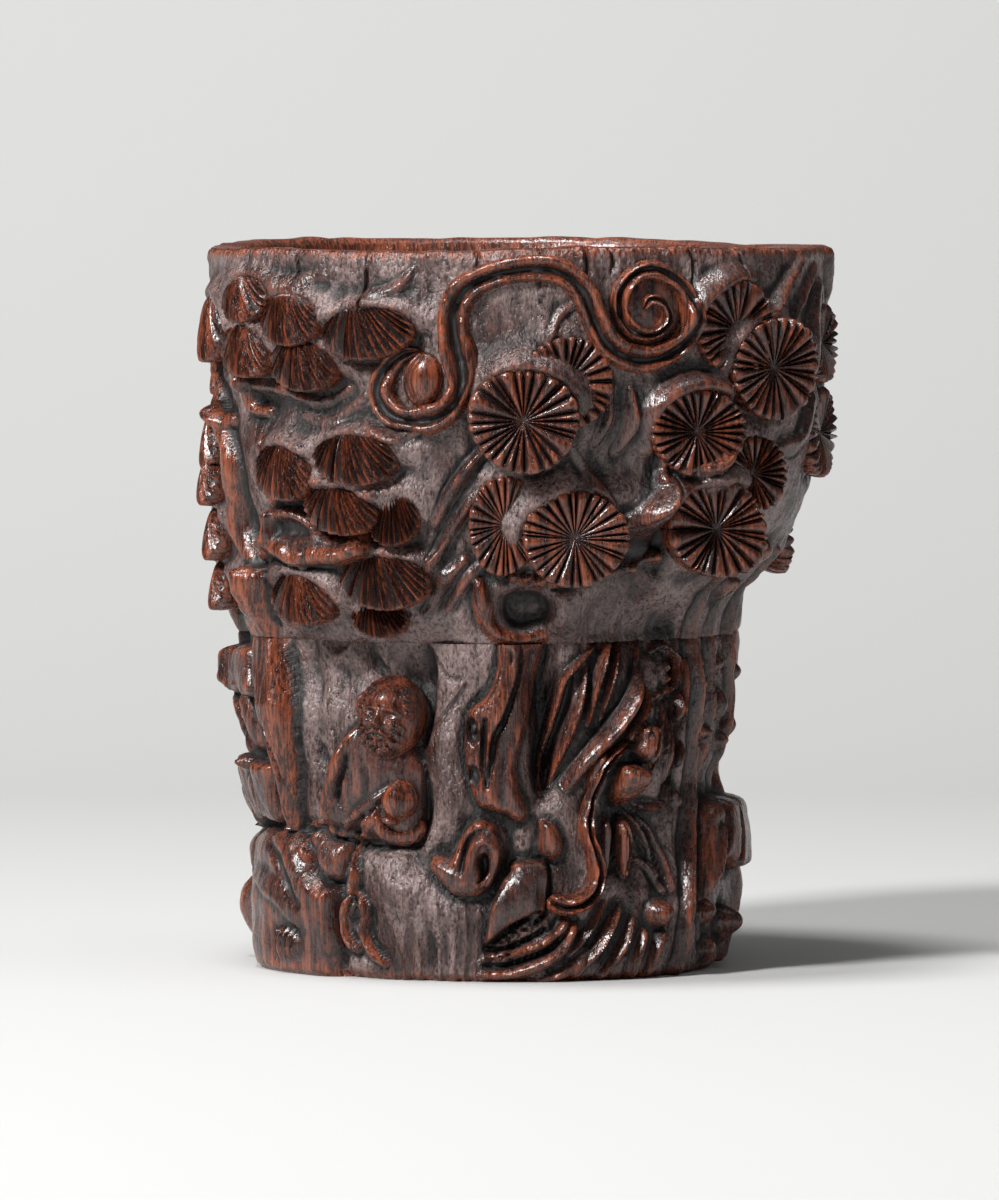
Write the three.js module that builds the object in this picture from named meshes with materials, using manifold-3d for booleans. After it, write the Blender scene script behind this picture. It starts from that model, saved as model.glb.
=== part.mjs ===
// A carved hardwood cup in the form of an old pine trunk. Two hollow blocks of dark, close-grained
// wood are stacked on a rebated seam, and a turned plug let in from below closes the floor. The
// upper block flares out under pleated pine-needle clusters and a scrolling vine. The lower one is
// carved with bark, roots, hollows, rocks and a seated robed figure. Millimetres, +Z up, and the
// front, with the vine and the figure, looks along -Y. The origin is the centre of the foot's
// underside.
import * as THREE from "three";
import { mergeVertices } from "three/addons/utils/BufferGeometryUtils.js";
import Module from "manifold-3d";

const wasm = await Module();
wasm.setup();

// Driving dimensions of the trunk
const cupHeight = 104;
const seamHeight = 48; // top of the lower block, where the upper one sits on it
const footRadius = 33;
const seamRadius = 33.4;
const rimRadius = 43.4;
const leanAcross = 2.5; // how far the rim's centre lies to the right of the foot's
const flareCurve = 0.85; // below 1 the flare opens early, just above the seam
const leanPivot = 0.45; // share of the height at which the leaning trunk crosses the cavity's axis

// The wood left round the cavity and the plug, and the rebated seam
const floorThickness = 8;
const footWall = 7.5;
const seamWall = 6.9;
const rimWall = 5.4;
const tongueHeight = 5; // ring standing on the lower block, which the upper block's rebate covers
const tongueThickness = 3;
const glueGap = 0.3;
const footRing = 4.5; // wood between the plug's flange and the outside of the foot
const plugFlangeThickness = 4.5;
const cavityFloorRadius = footRadius - footWall;
const cavitySeamRadius = seamRadius - seamWall;
const cavityRimRadius = rimRadius - rimWall;
const cavityBendHeight = 0.36; // the cavity's wall bends at this share of the upper block's height,
const cavityBendOut = 0.42; // when it has opened by this share
const plugFlangeRadius = footRadius - footRing;

// Relief sizes
const needlePleats = 7; // ridges on one cluster of needles
const pleatDepth = 0.7;
const clusterSeat = 3; // how deep a cluster or a lump is rooted under the trunk's skin
const shellLift = 0.35; // share of a shell's height at which its lower edge stands
const crownShift = 0.5; // share of a shell's half height by which its crown lies above its middle
const shellTip = 14; // degrees that a shell leans out with the flare
const wheelDish = 0.7; // how far the middle of a wheel lies below its rim
const vineHalfWidth = 2;
const boughHalfWidth = 1.6;
const bladeHalfWidth = 1;
const ribbonHalfWidth = 1.7;
const cordHalfWidth = 1;
const knotHoleDepth = 2.4;

// Fineness of the surfaces
const wallSegments = 64;
const frontCrowding = 24; // degrees by which the columns of the skin draw together at the front
const upperRings = 12;
const lowerRings = 15;
const cavitySegments = 32;
const lumpColumns = 9;
const lumpRings = 6;
const bandSides = 3; // segments of half a band's section

// The cup as drawn: heights in the lists below are given on it, and move with the blocks
const drawnSeam = 48;
const drawnRim = 104;

// How much fuller the trunk is at its sides, in rows of the share up the block, left and right
const lowerFullness = [
  [0, 0.4, -2],
  [0.2, 0.8, -1.4],
  [0.45, 0, -2],
  [0.65, 3, -1],
  [0.8, 5.2, -0.6],
  [1, 4, -0.6],
];
const upperFullness = [
  [0, 4, -0.6],
  [0.12, 5, -1.4],
  [0.21, 4.2, 2],
  [0.39, 2.6, 2.8],
  [0.62, 0.4, 1.2],
  [0.84, 0.5, 0.4],
  [1, 1.8, 1.7],
];

// Soft swellings and dips of the ground: [angle, height, half width, half height, rise]
const swells = [
  [56, 84, 15, 15, 1.8], [43, 66, 10, 9, 2.8], [84, 72, 12, 13, 1.2], [24, 67, 5, 4, 1.6],
  [-62, 91, 12, 7, 1.4], [-36, 70, 14, 7, 1], [-36, 55, 12, 4, 1], [-84, 66, 6, 13, 0.8],
  [5, 82, 9, 7, 0.8], [6, 62, 11, 5, 1],
  [118, 84, 14, 12, 1.8], [146, 66, 14, 10, 2.2], [-150, 88, 14, 9, 1.8], [-126, 68, 14, 9, 1.8],
  [176, 80, 10, 9, 1.4],
  [52, 51, 22, 5, -2.4], [33, 61, 5, 4, -3.2], [-66, 63, 6, 7, -1.6], [-50, 64.5, 7, 2.6, -1.4],
  [-56, 81.5, 8, 3, -1.2], [-92, 81, 6, 3.4, -1.6], [-10, 73, 6, 6, -0.8], [20, 74, 6, 5, -1.2],
  [68, 61, 8, 4, -1.6], [120, 55, 14, 6, -1.8], [-128, 54, 12, 4, -1.2], [170, 58, 12, 8, -1.6],
  [-66, 10, 12, 9, 1.6], [-28, 12, 12, 6, 1.4], [2, 34, 6, 16, 1.6], [-8, 12, 14, 5, 1.2],
  [18, 4, 14, 5, 1.4], [46, 8, 8, 7, 1.4], [34, 31, 5, 5, 1.2],
  [110, 12, 16, 9, 2], [150, 10, 16, 8, 2.2], [-150, 12, 16, 9, 2], [-112, 14, 12, 9, 1.6],
  [-40, 44, 12, 5, -1.8], [-52, 36, 5, 9, -1.4], [-22, 42, 8, 6, -1.6], [-22, 34, 5, 7, -1.2],
  [8, 40, 3.5, 10, -2.4], [7, 30, 3, 5, -1.8], [34, 47, 8, 4, -1.6], [29, 25, 6, 2.6, -2],
  [62, 30, 5, 10, -1.6], [44, 20, 7, 5, -1.2], [70, 42, 8, 8, -1],
  [100, 34, 10, 10, -1.8], [136, 30, 10, 12, -2], [176, 32, 10, 12, -2], [-126, 32, 10, 12, -2],
  [104, 18, 4, 5, 1.8], [132, 9, 5, 5.4, 2.2], [166, 8, 5, 5, 2], [-152, 10, 5.4, 6, 2.2],
  [-124, 9, 5, 5.2, 2], [-98, 8, 4.4, 5, 1.8], [136, 38, 4, 4.6, 1.6], [-156, 36, 4, 4.8, 1.6],
];

// Raised and sunk areas of the lower block: an outline of [angle, height], a rise, and how far in
// from the outline the edge is rounded
const plates = [
  {
    name: "niche behind the figure",
    outline: [
      [-60.5, 44], [-58, 32], [-47, 26], [-22, 30], [-16.5, 38], [-20, 47], [-40, 48.5], [-54, 48.5],
    ],
    rise: -1.3,
    rounding: 4,
  },
  {
    name: "robe",
    outline: [
      [-36, 37], [-42, 35], [-46, 30.7], [-48, 24], [-46, 21], [-36, 20.4], [-21, 20.4], [-19, 24],
      [-23, 31.6], [-29, 35],
    ],
    rise: 2.5,
    rounding: 2.6,
  },
  {
    name: "pillar",
    outline: [
      [-2.7, 48], [-3.2, 42], [-8.4, 38], [-10.2, 33], [-8, 27], [-3, 24], [5, 23.2], [6, 24.6],
      [3.2, 30], [3.4, 34], [7, 39.6], [8.4, 48],
    ],
    rise: 1.9,
    rounding: 1.4,
  },
  {
    name: "knot",
    outline: [[-12.8, 20], [-9, 22.6], [-3, 22], [-1.3, 18.6], [-3, 14], [-7.7, 12.4], [-13.4, 15]],
    rise: 2.2,
    rounding: 2,
  },
  {
    name: "stump",
    outline: [
      [0.4, 15.8], [2.4, 17.2], [9.4, 17.2], [10.6, 14], [9.6, 8.8], [-6.4, 4.2], [-10.2, 9.8],
      [-6, 12.4],
    ],
    rise: 1.7,
    rounding: 1.3,
  },
  {
    name: "rock at the left of the foot",
    outline: [
      [-88, 20], [-60, 20], [-52, 15.3], [-45, 12.6], [-44.8, 9], [-50, 3.2], [-52, -1], [-92, -1],
      [-96, 9],
    ],
    rise: 2,
    rounding: 2.2,
  },
  {
    name: "block at the left",
    outline: [[-96, 30], [-67, 30.4], [-62.2, 24.6], [-62.6, 22.2], [-96, 22]],
    rise: 1.6,
    rounding: 1.6,
  },
  {
    name: "stub under the clusters",
    outline: [[-96, 45.6], [-82, 45.4], [-79.6, 41], [-96, 40.6]],
    rise: 2.2,
    rounding: 1.4,
  },
  {
    name: "block at the right",
    outline: [[58, 23], [63, 24.4], [92, 24], [94, 14.2], [65, 15.2], [58, 10.2]],
    rise: 2.9,
    rounding: 1.6,
  },
];

// Needle clusters seen from above: [angle, height, half width, half height, proud, turn]
const shellClusters = [
  [-59.5, 96.2, 5.6, 3.6, 1.9, 4], [-46, 93.6, 5.6, 4.2, 2.6, -6], [-57.5, 88.8, 5.9, 4.3, 2.5, -14],
  [-43.3, 87, 5.9, 4.2, 2.3, -12], [-28, 91.8, 7, 4.5, 2.5, 2], [-75, 92, 5, 4.9, 2.4, -10],
  [-49.5, 72, 5.6, 4.5, 2.5, -16], [-31.2, 74, 6.6, 4.1, 2.6, -4], [-24, 65.8, 4.3, 4.4, 1.9, -4],
  [-35.5, 66.6, 6.3, 4.1, 2.8, -10], [-47.5, 53.9, 6.2, 4.3, 2.5, -12], [-28.6, 51.7, 4.2, 3, 1.3, -4],
  [-27, 56.6, 6.7, 4.4, 2.6, -4], [-82, 76.2, 5, 4.4, 2.6, -6], [-83, 69.4, 4.8, 4.2, 3, -6],
  [-86, 61.8, 4.8, 4.1, 2.8, -6], [-86, 54.9, 4.6, 3.9, 2.4, -6], [-96, 92, 5.6, 4.4, 2.4, 8],
  [-148, 96, 6.2, 4.2, 2.4, 4], [-134, 92, 6.2, 4.2, 2.6, -8], [-150, 88.6, 6, 4.1, 2.6, 6],
  [-118, 74, 6.2, 4.2, 2.6, -4], [-134, 69, 6.2, 4.2, 2.6, 6],
];

// Needle clusters seen full on: [angle, height, half width, half height, proud, yaw, tip]
const wheelClusters = [
  [9.4, 85, 5.9, 5.7, 1.7], [2, 80.4, 6.9, 6.9, 3, 0, -3], [-0.8, 65.4, 5, 6.6, 1.6, 6],
  [12.4, 63, 7.3, 6.2, 2.9, -6, -3], [43.5, 92.3, 6.8, 6.6, 2.4, -4, 4], [51, 86, 7.4, 6.6, 4, -12, 4],
  [33.5, 77.4, 6.8, 5.9, 2.6, -8, 6], [49.5, 71.5, 5.6, 5.4, 2.4, -14], [42, 64, 7.2, 6.8, 3.6, -16],
  [82, 71, 7, 7, 1.8, -6], [78, 90, 5.6, 5.6, 1.6, -6], [124, 90, 7.4, 7.2, 2.2], [120, 77, 6.6, 6.6, 2.2],
  [150, 72, 7.2, 6.8, 2.6], [172, 90, 7.2, 6.8, 2.4], [104, 63, 5.8, 5.6, 1.4],
];

// The vine: a curl round a knob, a climb, an arch below the rim and a spiral, as [angle, height]
const vine = [
  [-18, 87.2], [-20.6, 84.6], [-16.4, 82], [-12.9, 86], [-18.6, 90], [-25, 86.4], [-21.6, 80.2],
  [-12.6, 81], [-10.4, 87], [-12, 92], [-9.6, 98], [-1.8, 100.6], [6.5, 100.9], [14, 97],
  [18.6, 90.6], [26.5, 88.6],
  [32.4, 93.4], [29.4, 100.2], [21.9, 99.8], [21.2, 94.6], [26.6, 93.4], [27.2, 97],
];

// Boughs in the open parts of the upper block, as [angle, height]
const boughs = [
  [[-62, 60], [-52, 61.2], [-42, 59], [-34, 60]],
  [[30, 72.6], [35, 73], [42, 75], [45, 77]],
  [[62, 102], [55, 97], [49, 92]],
];

// Stems, posts of bark and roots that run up and down the skin: a way of [angle, height], a half
// width and a rise
const stems = [
  {
    way: [[-70, 48], [-66, 54], [-72, 63], [-71.5, 73], [-77, 80], [-82, 86]],
    halfWidth: 2.4,
    rise: 2,
  },
  {
    way: [[-72.5, 48], [-70, 44], [-68, 39], [-64, 33], [-60, 27], [-57, 20]],
    halfWidth: 2.6,
    rise: 2.2,
  },
  { way: [[55.4, 48], [57, 36], [56.8, 24], [53, 13], [49.6, 0]], halfWidth: 2.2, rise: 2 },
  { way: [[99, 48], [101, 36], [97, 24], [100, 12], [97, 0]], halfWidth: 3, rise: 1.6 },
  { way: [[120, 48], [116, 36], [122, 24], [112, 12], [114, 0]], halfWidth: 3.4, rise: 2.4 },
  { way: [[150, 48], [154, 36], [146, 24], [154, 12], [148, 0]], halfWidth: 3.6, rise: 2.6 },
  { way: [[-170, 48], [-166, 34], [-172, 20], [-164, 8], [-160, 0]], halfWidth: 3.4, rise: 2.4 },
  { way: [[-140, 48], [-136, 34], [-144, 20], [-136, 8], [-140, 0]], halfWidth: 3.6, rise: 2.6 },
  { way: [[-110, 48], [-108, 34], [-114, 20], [-106, 8], [-108, 0]], halfWidth: 3.2, rise: 2.2 },
  { way: [[108, 48], [110, 60], [116, 70], [110, 80]], halfWidth: 3.2, rise: 2.2 },
  { way: [[134, 48], [138, 57], [134, 66], [142, 76]], halfWidth: 3, rise: 2.2 },
  { way: [[168, 48], [164, 60], [170, 70], [186, 80]], halfWidth: 3.2, rise: 2 },
  { way: [[-148, 48], [-144, 58], [-150, 68], [-143, 78]], halfWidth: 3.4, rise: 2.2 },
  { way: [[-112, 48], [-116, 57], [-112, 66], [-122, 78]], halfWidth: 3, rise: 2 },
];

// Long blades of bark between the pillar and the right-hand post, and the folds of rock at the foot
const blades = [
  [[25, 50], [21.6, 45.4], [16, 44], [13.2, 38.1], [9.6, 29]],
  [[19.6, 43.6], [15.8, 35.8], [12.4, 29.4]],
  [[29.8, 50], [22.8, 42.6], [19.6, 34.8]],
  [[28.6, 47], [25.4, 40.8], [23.7, 36.6]],
  [[41.2, 46.4], [47.4, 46], [48.2, 43], [42.6, 40.6]],
  [[41.8, 39.6], [40.4, 35], [38.8, 28.6]],
  [[47.8, 40.4], [46.2, 34], [45.2, 28]],
  [[36.6, 24.6], [42, 24.2], [47.8, 26.6]],
  [[33.6, 23.8], [38.6, 20.4], [42.6, 14.6]],
  [[-4.7, 5.6], [3, 8], [9.9, 10.4]],
  [[-7, 1.6], [4, 4.6], [14.1, 7]],
  [[28.6, 8.8], [21.5, 3.9], [16.8, 0.9]],
  [[32.4, 7.6], [27, 2.8], [22, -0.5]],
  [[-41, 19.6], [-38.4, 13.6], [-40.6, 8.6], [-37, 4.6], [-33, 3]],
];
const ledge = [[-57.5, 20], [-46, 20.8], [-36, 20], [-23, 19.6]];
const limb = [[35.6, 42.6], [29.4, 38], [22.8, 33.6], [17, 29.8]];
const sleeve = [[-31.2, 24.8], [-29.6, 21.8], [-24.2, 20.9], [-20.8, 23.8]];
const ribbon = [
  [30, 33.8], [25, 31.4], [22, 27.4], [20, 22.4], [22.6, 17], [21, 12.6], [15.4, 10.9], [11, 12],
];

// Rounded lumps of the lower block: [angle, height, half width, half height, proud]
const lumps = [
  [-28.6, 37.2, 4.4, 5.9, 4.6], // head
  [-26, 25.9, 2.5, 2.7, 2.4], // hand on the knee
  [33.4, 32.4, 3, 2.8, 2.6],
  [31, 28, 3.6, 2.4, 2.6],
  [31.4, 18.4, 2, 3.8, 1.8],
  [73.9, 7, 2.8, 2.8, 2.4],
  [62.4, 8.6, 2.2, 2.4, 2.2],
  [40, 8.6, 2.2, 2.4, 2.2],
  [84, 5.6, 2.8, 3, 2.4],
];

const degree = Math.PI / 180;
const { lerp, clamp, euclideanModulo } = THREE.MathUtils;

const placed = (height) =>
  height < drawnSeam
    ? (height / drawnSeam) * seamHeight
    : lerp(seamHeight, cupHeight, (height - drawnSeam) / (drawnRim - drawnSeam));
const between = (angle, other) => euclideanModulo(angle - other + 180, 360) - 180;

// Outer radius of the bare trunk: nearly straight below the seam, swelling to the rim above it
function profileRadius(height) {
  if (height <= seamHeight) return lerp(footRadius, seamRadius, height / seamHeight);
  const share = Math.min((height - seamHeight) / (cupHeight - seamHeight), 1);
  return lerp(seamRadius, rimRadius, Math.sin((share * Math.PI) / 2) ** flareCurve);
}

// How far the trunk is fuller than round at a place
function fuller(angle, height) {
  const above = height > seamHeight;
  const share = above ? (height - seamHeight) / (cupHeight - seamHeight) : height / seamHeight;
  const rows = above ? upperFullness : lowerFullness;
  const next = Math.max(1, rows.findIndex((row) => row[0] >= clamp(share, 0, 1)));
  const part = clamp((share - rows[next - 1][0]) / (rows[next][0] - rows[next - 1][0]), 0, 1);
  const side = Math.sin(angle * degree);
  const column = side < 0 ? 1 : 2;
  return lerp(rows[next - 1][column], rows[next][column], part) * side ** 2;
}

function softRelief(angle, height) {
  return swells.reduce((sum, [at, level, wide, tall, rise]) => {
    const across = between(angle, at) * degree * profileRadius(height);
    return sum + rise * Math.exp(-((across / wide) ** 2) - ((height - placed(level)) / tall) ** 2);
  }, 0);
}

// Millimetres across and up the skin from a place to another
const offset = (angle, height, [at, level]) => [
  between(at, angle) * degree * profileRadius(height),
  placed(level) - height,
];

// How far a place, the origin, lies from the straight run between two points
function distanceTo([x, y], [toX, toY]) {
  const [runX, runY] = [toX - x, toY - y];
  const along = clamp(-(x * runX + y * runY) / (runX ** 2 + runY ** 2), 0, 1);
  return Math.hypot(x + runX * along, y + runY * along);
}

// How far the plates lift or sink a place: nothing outside them, rounded up from their edge inside
function plateRelief(angle, height) {
  return plates.reduce((sum, { outline, rise, rounding }) => {
    const corners = outline.map((corner) => offset(angle, height, corner));
    let inside = false;
    let nearest = Infinity;
    corners.forEach(([x, y], i) => {
      const [toX, toY] = corners[(i + 1) % corners.length];
      if (y > 0 !== toY > 0 && x - (y * (toX - x)) / (toY - y) > 0) inside = !inside;
      nearest = Math.min(nearest, distanceTo([x, y], [toX, toY]));
    });
    if (!inside) return sum;
    return sum + rise * Math.sqrt(1 - (1 - Math.min(nearest / rounding, 1)) ** 2);
  }, 0);
}

// How far the nearest stem lifts a place
function stemRelief(angle, height) {
  const lifts = stems.map(({ way, halfWidth, rise }) => {
    const spots = way.map((spot) => offset(angle, height, spot));
    const runs = spots.slice(1).map((spot, i) => distanceTo(spots[i], spot));
    return rise * Math.max(0, 1 - (Math.min(...runs) / halfWidth) ** 2);
  });
  return Math.max(...lifts);
}

// A point on the trunk's skin, at an angle from the front towards the right, proud by some millimetres
function wallPoint(angle, height, proud = 0) {
  const turn = angle * degree;
  const forms = [fuller, softRelief, plateRelief, stemRelief];
  const relief = forms.reduce((sum, form) => sum + form(angle, height), 0);
  const radius = profileRadius(height) + relief + proud;
  const centre = leanAcross * (height / cupHeight - leanPivot);
  return new THREE.Vector3(centre + radius * Math.sin(turn), -radius * Math.cos(turn), height);
}

// A closed three.js geometry as a solid, so that solids can be joined and cut
function solidOf(geometry) {
  const bare = geometry.clone();
  bare.deleteAttribute("normal");
  bare.deleteAttribute("uv");
  const merged = mergeVertices(bare, 1e-4);
  const vertProperties = new Float32Array(merged.attributes.position.array);
  const triVerts = new Uint32Array(merged.index.array);
  return new wasm.Manifold(new wasm.Mesh({ numProp: 3, vertProperties, triVerts }));
}

function geometryOf(solid) {
  const mesh = solid.getMesh();
  const geometry = new THREE.BufferGeometry();
  geometry.setAttribute("position", new THREE.BufferAttribute(mesh.vertProperties, 3));
  geometry.setIndex(new THREE.BufferAttribute(mesh.triVerts, 1));
  geometry.computeVertexNormals();
  return geometry;
}

const joined = (solids) => solids.reduce((whole, next) => whole.add(next));

// Moves each point of a geometry to where a function of its place puts it
function reshaped(geometry, move) {
  const position = geometry.attributes.position;
  for (let i = 0; i < position.count; i++) {
    position.setXYZ(i, ...move(position.getX(i), position.getY(i), position.getZ(i)));
  }
  return geometry;
}

const onAxis = (x, y) => Math.hypot(x, y) < 0.1;

function turned(profile) {
  const points = profile.map(([radius, height]) => new THREE.Vector2(radius, height));
  return solidOf(new THREE.LatheGeometry(points, cavitySegments).rotateX(Math.PI / 2));
}

// The trunk between two heights, as a lofted skin that carries the swells, plates and stems
function trunkBlock(bottom, top, rings) {
  const barrel = new THREE.CylinderGeometry(1, 1, 1, wallSegments, rings).rotateX(Math.PI / 2);
  reshaped(barrel, (x, y, z) => {
    const height = lerp(bottom, top, z + 0.5);
    if (onAxis(x, y)) return [0, 0, height];
    const turn = Math.atan2(x, -y);
    return wallPoint(turn / degree - frontCrowding * Math.sin(turn), height).toArray();
  });
  return solidOf(barrel);
}

// Moves a carving made flat, facing +Z with +Y up, onto the trunk's skin
function onWall(geometry, angle, height, turn = 0, tip = 0, yaw = 0) {
  const [s, c] = [Math.sin(angle * degree), Math.cos(angle * degree)];
  const right = new THREE.Vector3(c, s, 0);
  const up = new THREE.Vector3(0, 0, 1);
  const outward = new THREE.Vector3(s, -c, 0);
  const place = new THREE.Matrix4().makeBasis(right, up, outward);
  place.setPosition(wallPoint(angle, placed(height)));
  return geometry
    .rotateZ(turn * degree)
    .rotateX(tip * degree)
    .rotateY(yaw * degree)
    .applyMatrix4(place);
}

// Half of the depth of the pleats, up or down by turns, at a place round a cluster
function pleatAt(x, y) {
  const quarter = 0.25; // keeps the rounding clear of half steps
  const step = Math.round((Math.atan2(x, -y) / Math.PI) * needlePleats + quarter);
  return ((step % 2 === 0 ? 1 : -1) * pleatDepth) / 2;
}

// A cluster seen from above: a clam whose ribs run down from a crown near its top edge
function needleShell([angle, height, halfWide, halfTall, proud, turn = 0]) {
  const clam = new THREE.SphereGeometry(1, 2 * needlePleats, 4).rotateX(Math.PI / 2);
  reshaped(clam, (x, y, z) => {
    const buried = z < -0.1;
    const pleat = buried || onAxis(x, y) ? 0 : pleatAt(x, y);
    const spread = buried && !onAxis(x, y) ? 1 / Math.hypot(x, y) : 1; // straight sides to the seat
    const out = z > 0 ? z * (1 - shellLift) * proud : z * clusterSeat;
    const lift = crownShift * Math.max(z, 0);
    return [x * halfWide * spread, (y * spread + lift) * halfTall, out + shellLift * proud + pleat];
  });
  return solidOf(onWall(clam, angle, height, turn, shellTip));
}

// A cluster seen full on: a thick disc whose pleated face is dished towards its middle
function needleWheel([angle, height, halfWide, halfTall, proud, yaw = 0, tip = 0]) {
  const thickness = proud + clusterSeat;
  const disc = new THREE.CylinderGeometry(1, 1, thickness, 2 * needlePleats).rotateX(Math.PI / 2);
  reshaped(disc, (x, y, z) => {
    const relief = onAxis(x, y) ? -wheelDish : pleatAt(x, y);
    return [x * halfWide, y * halfTall, z + proud - thickness / 2 + (z > 0 ? relief : 0)];
  });
  return solidOf(onWall(disc, angle, height, 0, tip, yaw));
}

// A rounded lump that stands proud by some millimetres, or a rounded cutter
function lump([angle, height, halfWide, halfTall, proud], depth = clusterSeat) {
  const ball = new THREE.SphereGeometry(1, lumpColumns, lumpRings).rotateX(Math.PI / 2);
  reshaped(ball, (x, y, z) => [x * halfWide, y * halfTall, z * (z > 0 ? proud : depth)]);
  return solidOf(onWall(ball, angle, height));
}

// A rounded band that follows the trunk's skin through the given places
function band(places, halfWidth, proud, stepLength = 3) {
  const route = new THREE.CatmullRomCurve3(
    places.map(([angle, height]) => wallPoint(angle, placed(height), proud)),
  );
  const section = new THREE.Shape().absarc(0, 0, halfWidth, 0, 2 * Math.PI);
  const steps = Math.max(3, Math.round(route.getLength() / stepLength));
  const options = { steps, extrudePath: route, curveSegments: bandSides };
  return solidOf(new THREE.ExtrudeGeometry(section, options));
}

// Cuts whatever reaches past a block's two flat ends
function trimmed(block, bottom, top) {
  const reach = 2 * rimRadius;
  const slab = new THREE.CylinderGeometry(reach, reach, top - bottom, cavitySegments);
  return block.intersect(solidOf(slab.rotateX(Math.PI / 2).translate(0, 0, (bottom + top) / 2)));
}

const cavity = turned([
  [0, floorThickness],
  [cavityFloorRadius, floorThickness],
  [cavitySeamRadius, seamHeight],
  [
    lerp(cavitySeamRadius, cavityRimRadius, cavityBendOut),
    lerp(seamHeight, cupHeight, cavityBendHeight),
  ],
  [cavityRimRadius, cupHeight],
  [cavityRimRadius, cupHeight + tongueHeight],
  [0, cupHeight + tongueHeight],
]);

function carveUpperBlock() {
  const knotLip = lump([3.2, 52.6, 6.2, 4.4, 1.6]);
  const knotHole = lump([4.2, 52.6, 3.7, 2.6, 3], knotHoleDepth);
  const relief = [
    band(vine, vineHalfWidth, 0.4, 2.8),
    ...boughs.map((way) => band(way, boughHalfWidth, 0.6, 3.6)),
    ...shellClusters.map(needleShell),
    ...wheelClusters.map(needleWheel),
    knotLip,
  ];
  const rebate = turned([
    [0, seamHeight - tongueHeight],
    [cavitySeamRadius + tongueThickness + glueGap, seamHeight - tongueHeight],
    [cavitySeamRadius + tongueThickness + glueGap, seamHeight + tongueHeight + glueGap],
    [0, seamHeight + tongueHeight + glueGap],
  ]);
  const skin = trunkBlock(seamHeight, cupHeight, upperRings);
  const carved = trimmed(joined([skin, ...relief]), seamHeight, cupHeight);
  return carved.subtract(knotHole).subtract(cavity).subtract(rebate);
}

function carveLowerBlock() {
  const relief = [
    ...blades.map((way) => band(way, bladeHalfWidth, 0.3, 4.4)),
    band(ledge, cordHalfWidth, 0.2),
    band(limb, boughHalfWidth, 0.8),
    band(sleeve, cordHalfWidth, 0.6, 2.4),
    band(ribbon, ribbonHalfWidth, 0.7, 3.2),
    ...lumps.map((values) => lump(values)),
  ];
  const carved = trimmed(joined([trunkBlock(0, seamHeight, lowerRings), ...relief]), 0, seamHeight);
  const overlap = 1; // the tongue and the plug's seat reach this far into the block
  const tongue = turned([
    [0, seamHeight - overlap],
    [cavitySeamRadius + tongueThickness, seamHeight - overlap],
    [cavitySeamRadius + tongueThickness, seamHeight + tongueHeight],
    [0, seamHeight + tongueHeight],
  ]);
  const plugSeat = turned([
    [0, -plugFlangeThickness],
    [plugFlangeRadius + glueGap, -plugFlangeThickness],
    [plugFlangeRadius + glueGap, plugFlangeThickness],
    [cavityFloorRadius, plugFlangeThickness],
    [cavityFloorRadius, floorThickness + overlap],
    [0, floorThickness + overlap],
  ]);
  return carved.add(tongue).subtract(cavity).subtract(plugSeat);
}

// The floor: a turned plug whose flange seats in the foot and whose top fills the bottom of the cavity
function turnFloorPlug() {
  return turned([
    [0, 0],
    [plugFlangeRadius, 0],
    [plugFlangeRadius, plugFlangeThickness],
    [cavityFloorRadius - glueGap, plugFlangeThickness],
    [cavityFloorRadius - glueGap, floorThickness],
    [0, floorThickness],
  ]);
}

function woodMesh(name, solid, color, roughness) {
  const material = new THREE.MeshStandardMaterial({ color, roughness, metalness: 0 });
  const mesh = new THREE.Mesh(geometryOf(solid), material);
  mesh.name = name;
  return mesh;
}

const cup = new THREE.Group();
cup.add(woodMesh("upper_block", carveUpperBlock(), 0x3b1a12, 0.38));
cup.add(woodMesh("lower_block", carveLowerBlock(), 0x3a1811, 0.38));
cup.add(woodMesh("floor_plug", turnFloorPlug(), 0x331610, 0.5));

export default cup;
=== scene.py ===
"""A carved rosewood cup in the form of an old pine trunk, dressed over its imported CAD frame.

Sizes are in millimetres until a mesh is made. Angles go round the trunk in degrees from the front,
-Y, towards the right, +X. Heights go up from the foot.
"""

import math

import bmesh
import bpy
import numpy as np
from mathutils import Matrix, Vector


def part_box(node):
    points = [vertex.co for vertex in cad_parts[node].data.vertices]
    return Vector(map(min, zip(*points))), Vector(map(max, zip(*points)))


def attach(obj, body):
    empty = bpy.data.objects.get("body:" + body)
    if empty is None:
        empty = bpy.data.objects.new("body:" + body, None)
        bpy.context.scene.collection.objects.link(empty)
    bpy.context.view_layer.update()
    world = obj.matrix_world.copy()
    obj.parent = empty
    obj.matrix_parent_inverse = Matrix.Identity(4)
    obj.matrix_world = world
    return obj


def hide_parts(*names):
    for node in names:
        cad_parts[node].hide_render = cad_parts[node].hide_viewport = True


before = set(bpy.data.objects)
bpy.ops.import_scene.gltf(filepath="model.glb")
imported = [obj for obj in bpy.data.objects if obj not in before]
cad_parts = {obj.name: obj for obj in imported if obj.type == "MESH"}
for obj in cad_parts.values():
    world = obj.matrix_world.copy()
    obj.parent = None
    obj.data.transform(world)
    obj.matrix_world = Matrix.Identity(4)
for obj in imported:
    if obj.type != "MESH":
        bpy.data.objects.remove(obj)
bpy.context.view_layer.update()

MM = 0.001
chance = np.random.default_rng(41)


# The trunk. Two hollow blocks of rosewood, end grain up, stacked on a rebated seam. Its bare form,
# before any carving, is a leaning barrel that flares from the seam to the rim and is fuller at the
# sides, where the carver left more wood.
cup_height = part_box("upper_block")[1].z / MM
seam_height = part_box("upper_block")[0].z / MM
foot_radius, seam_radius, rim_radius = 33.0, 33.4, 43.4
lean_across, lean_pivot = 2.5, 0.45


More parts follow.
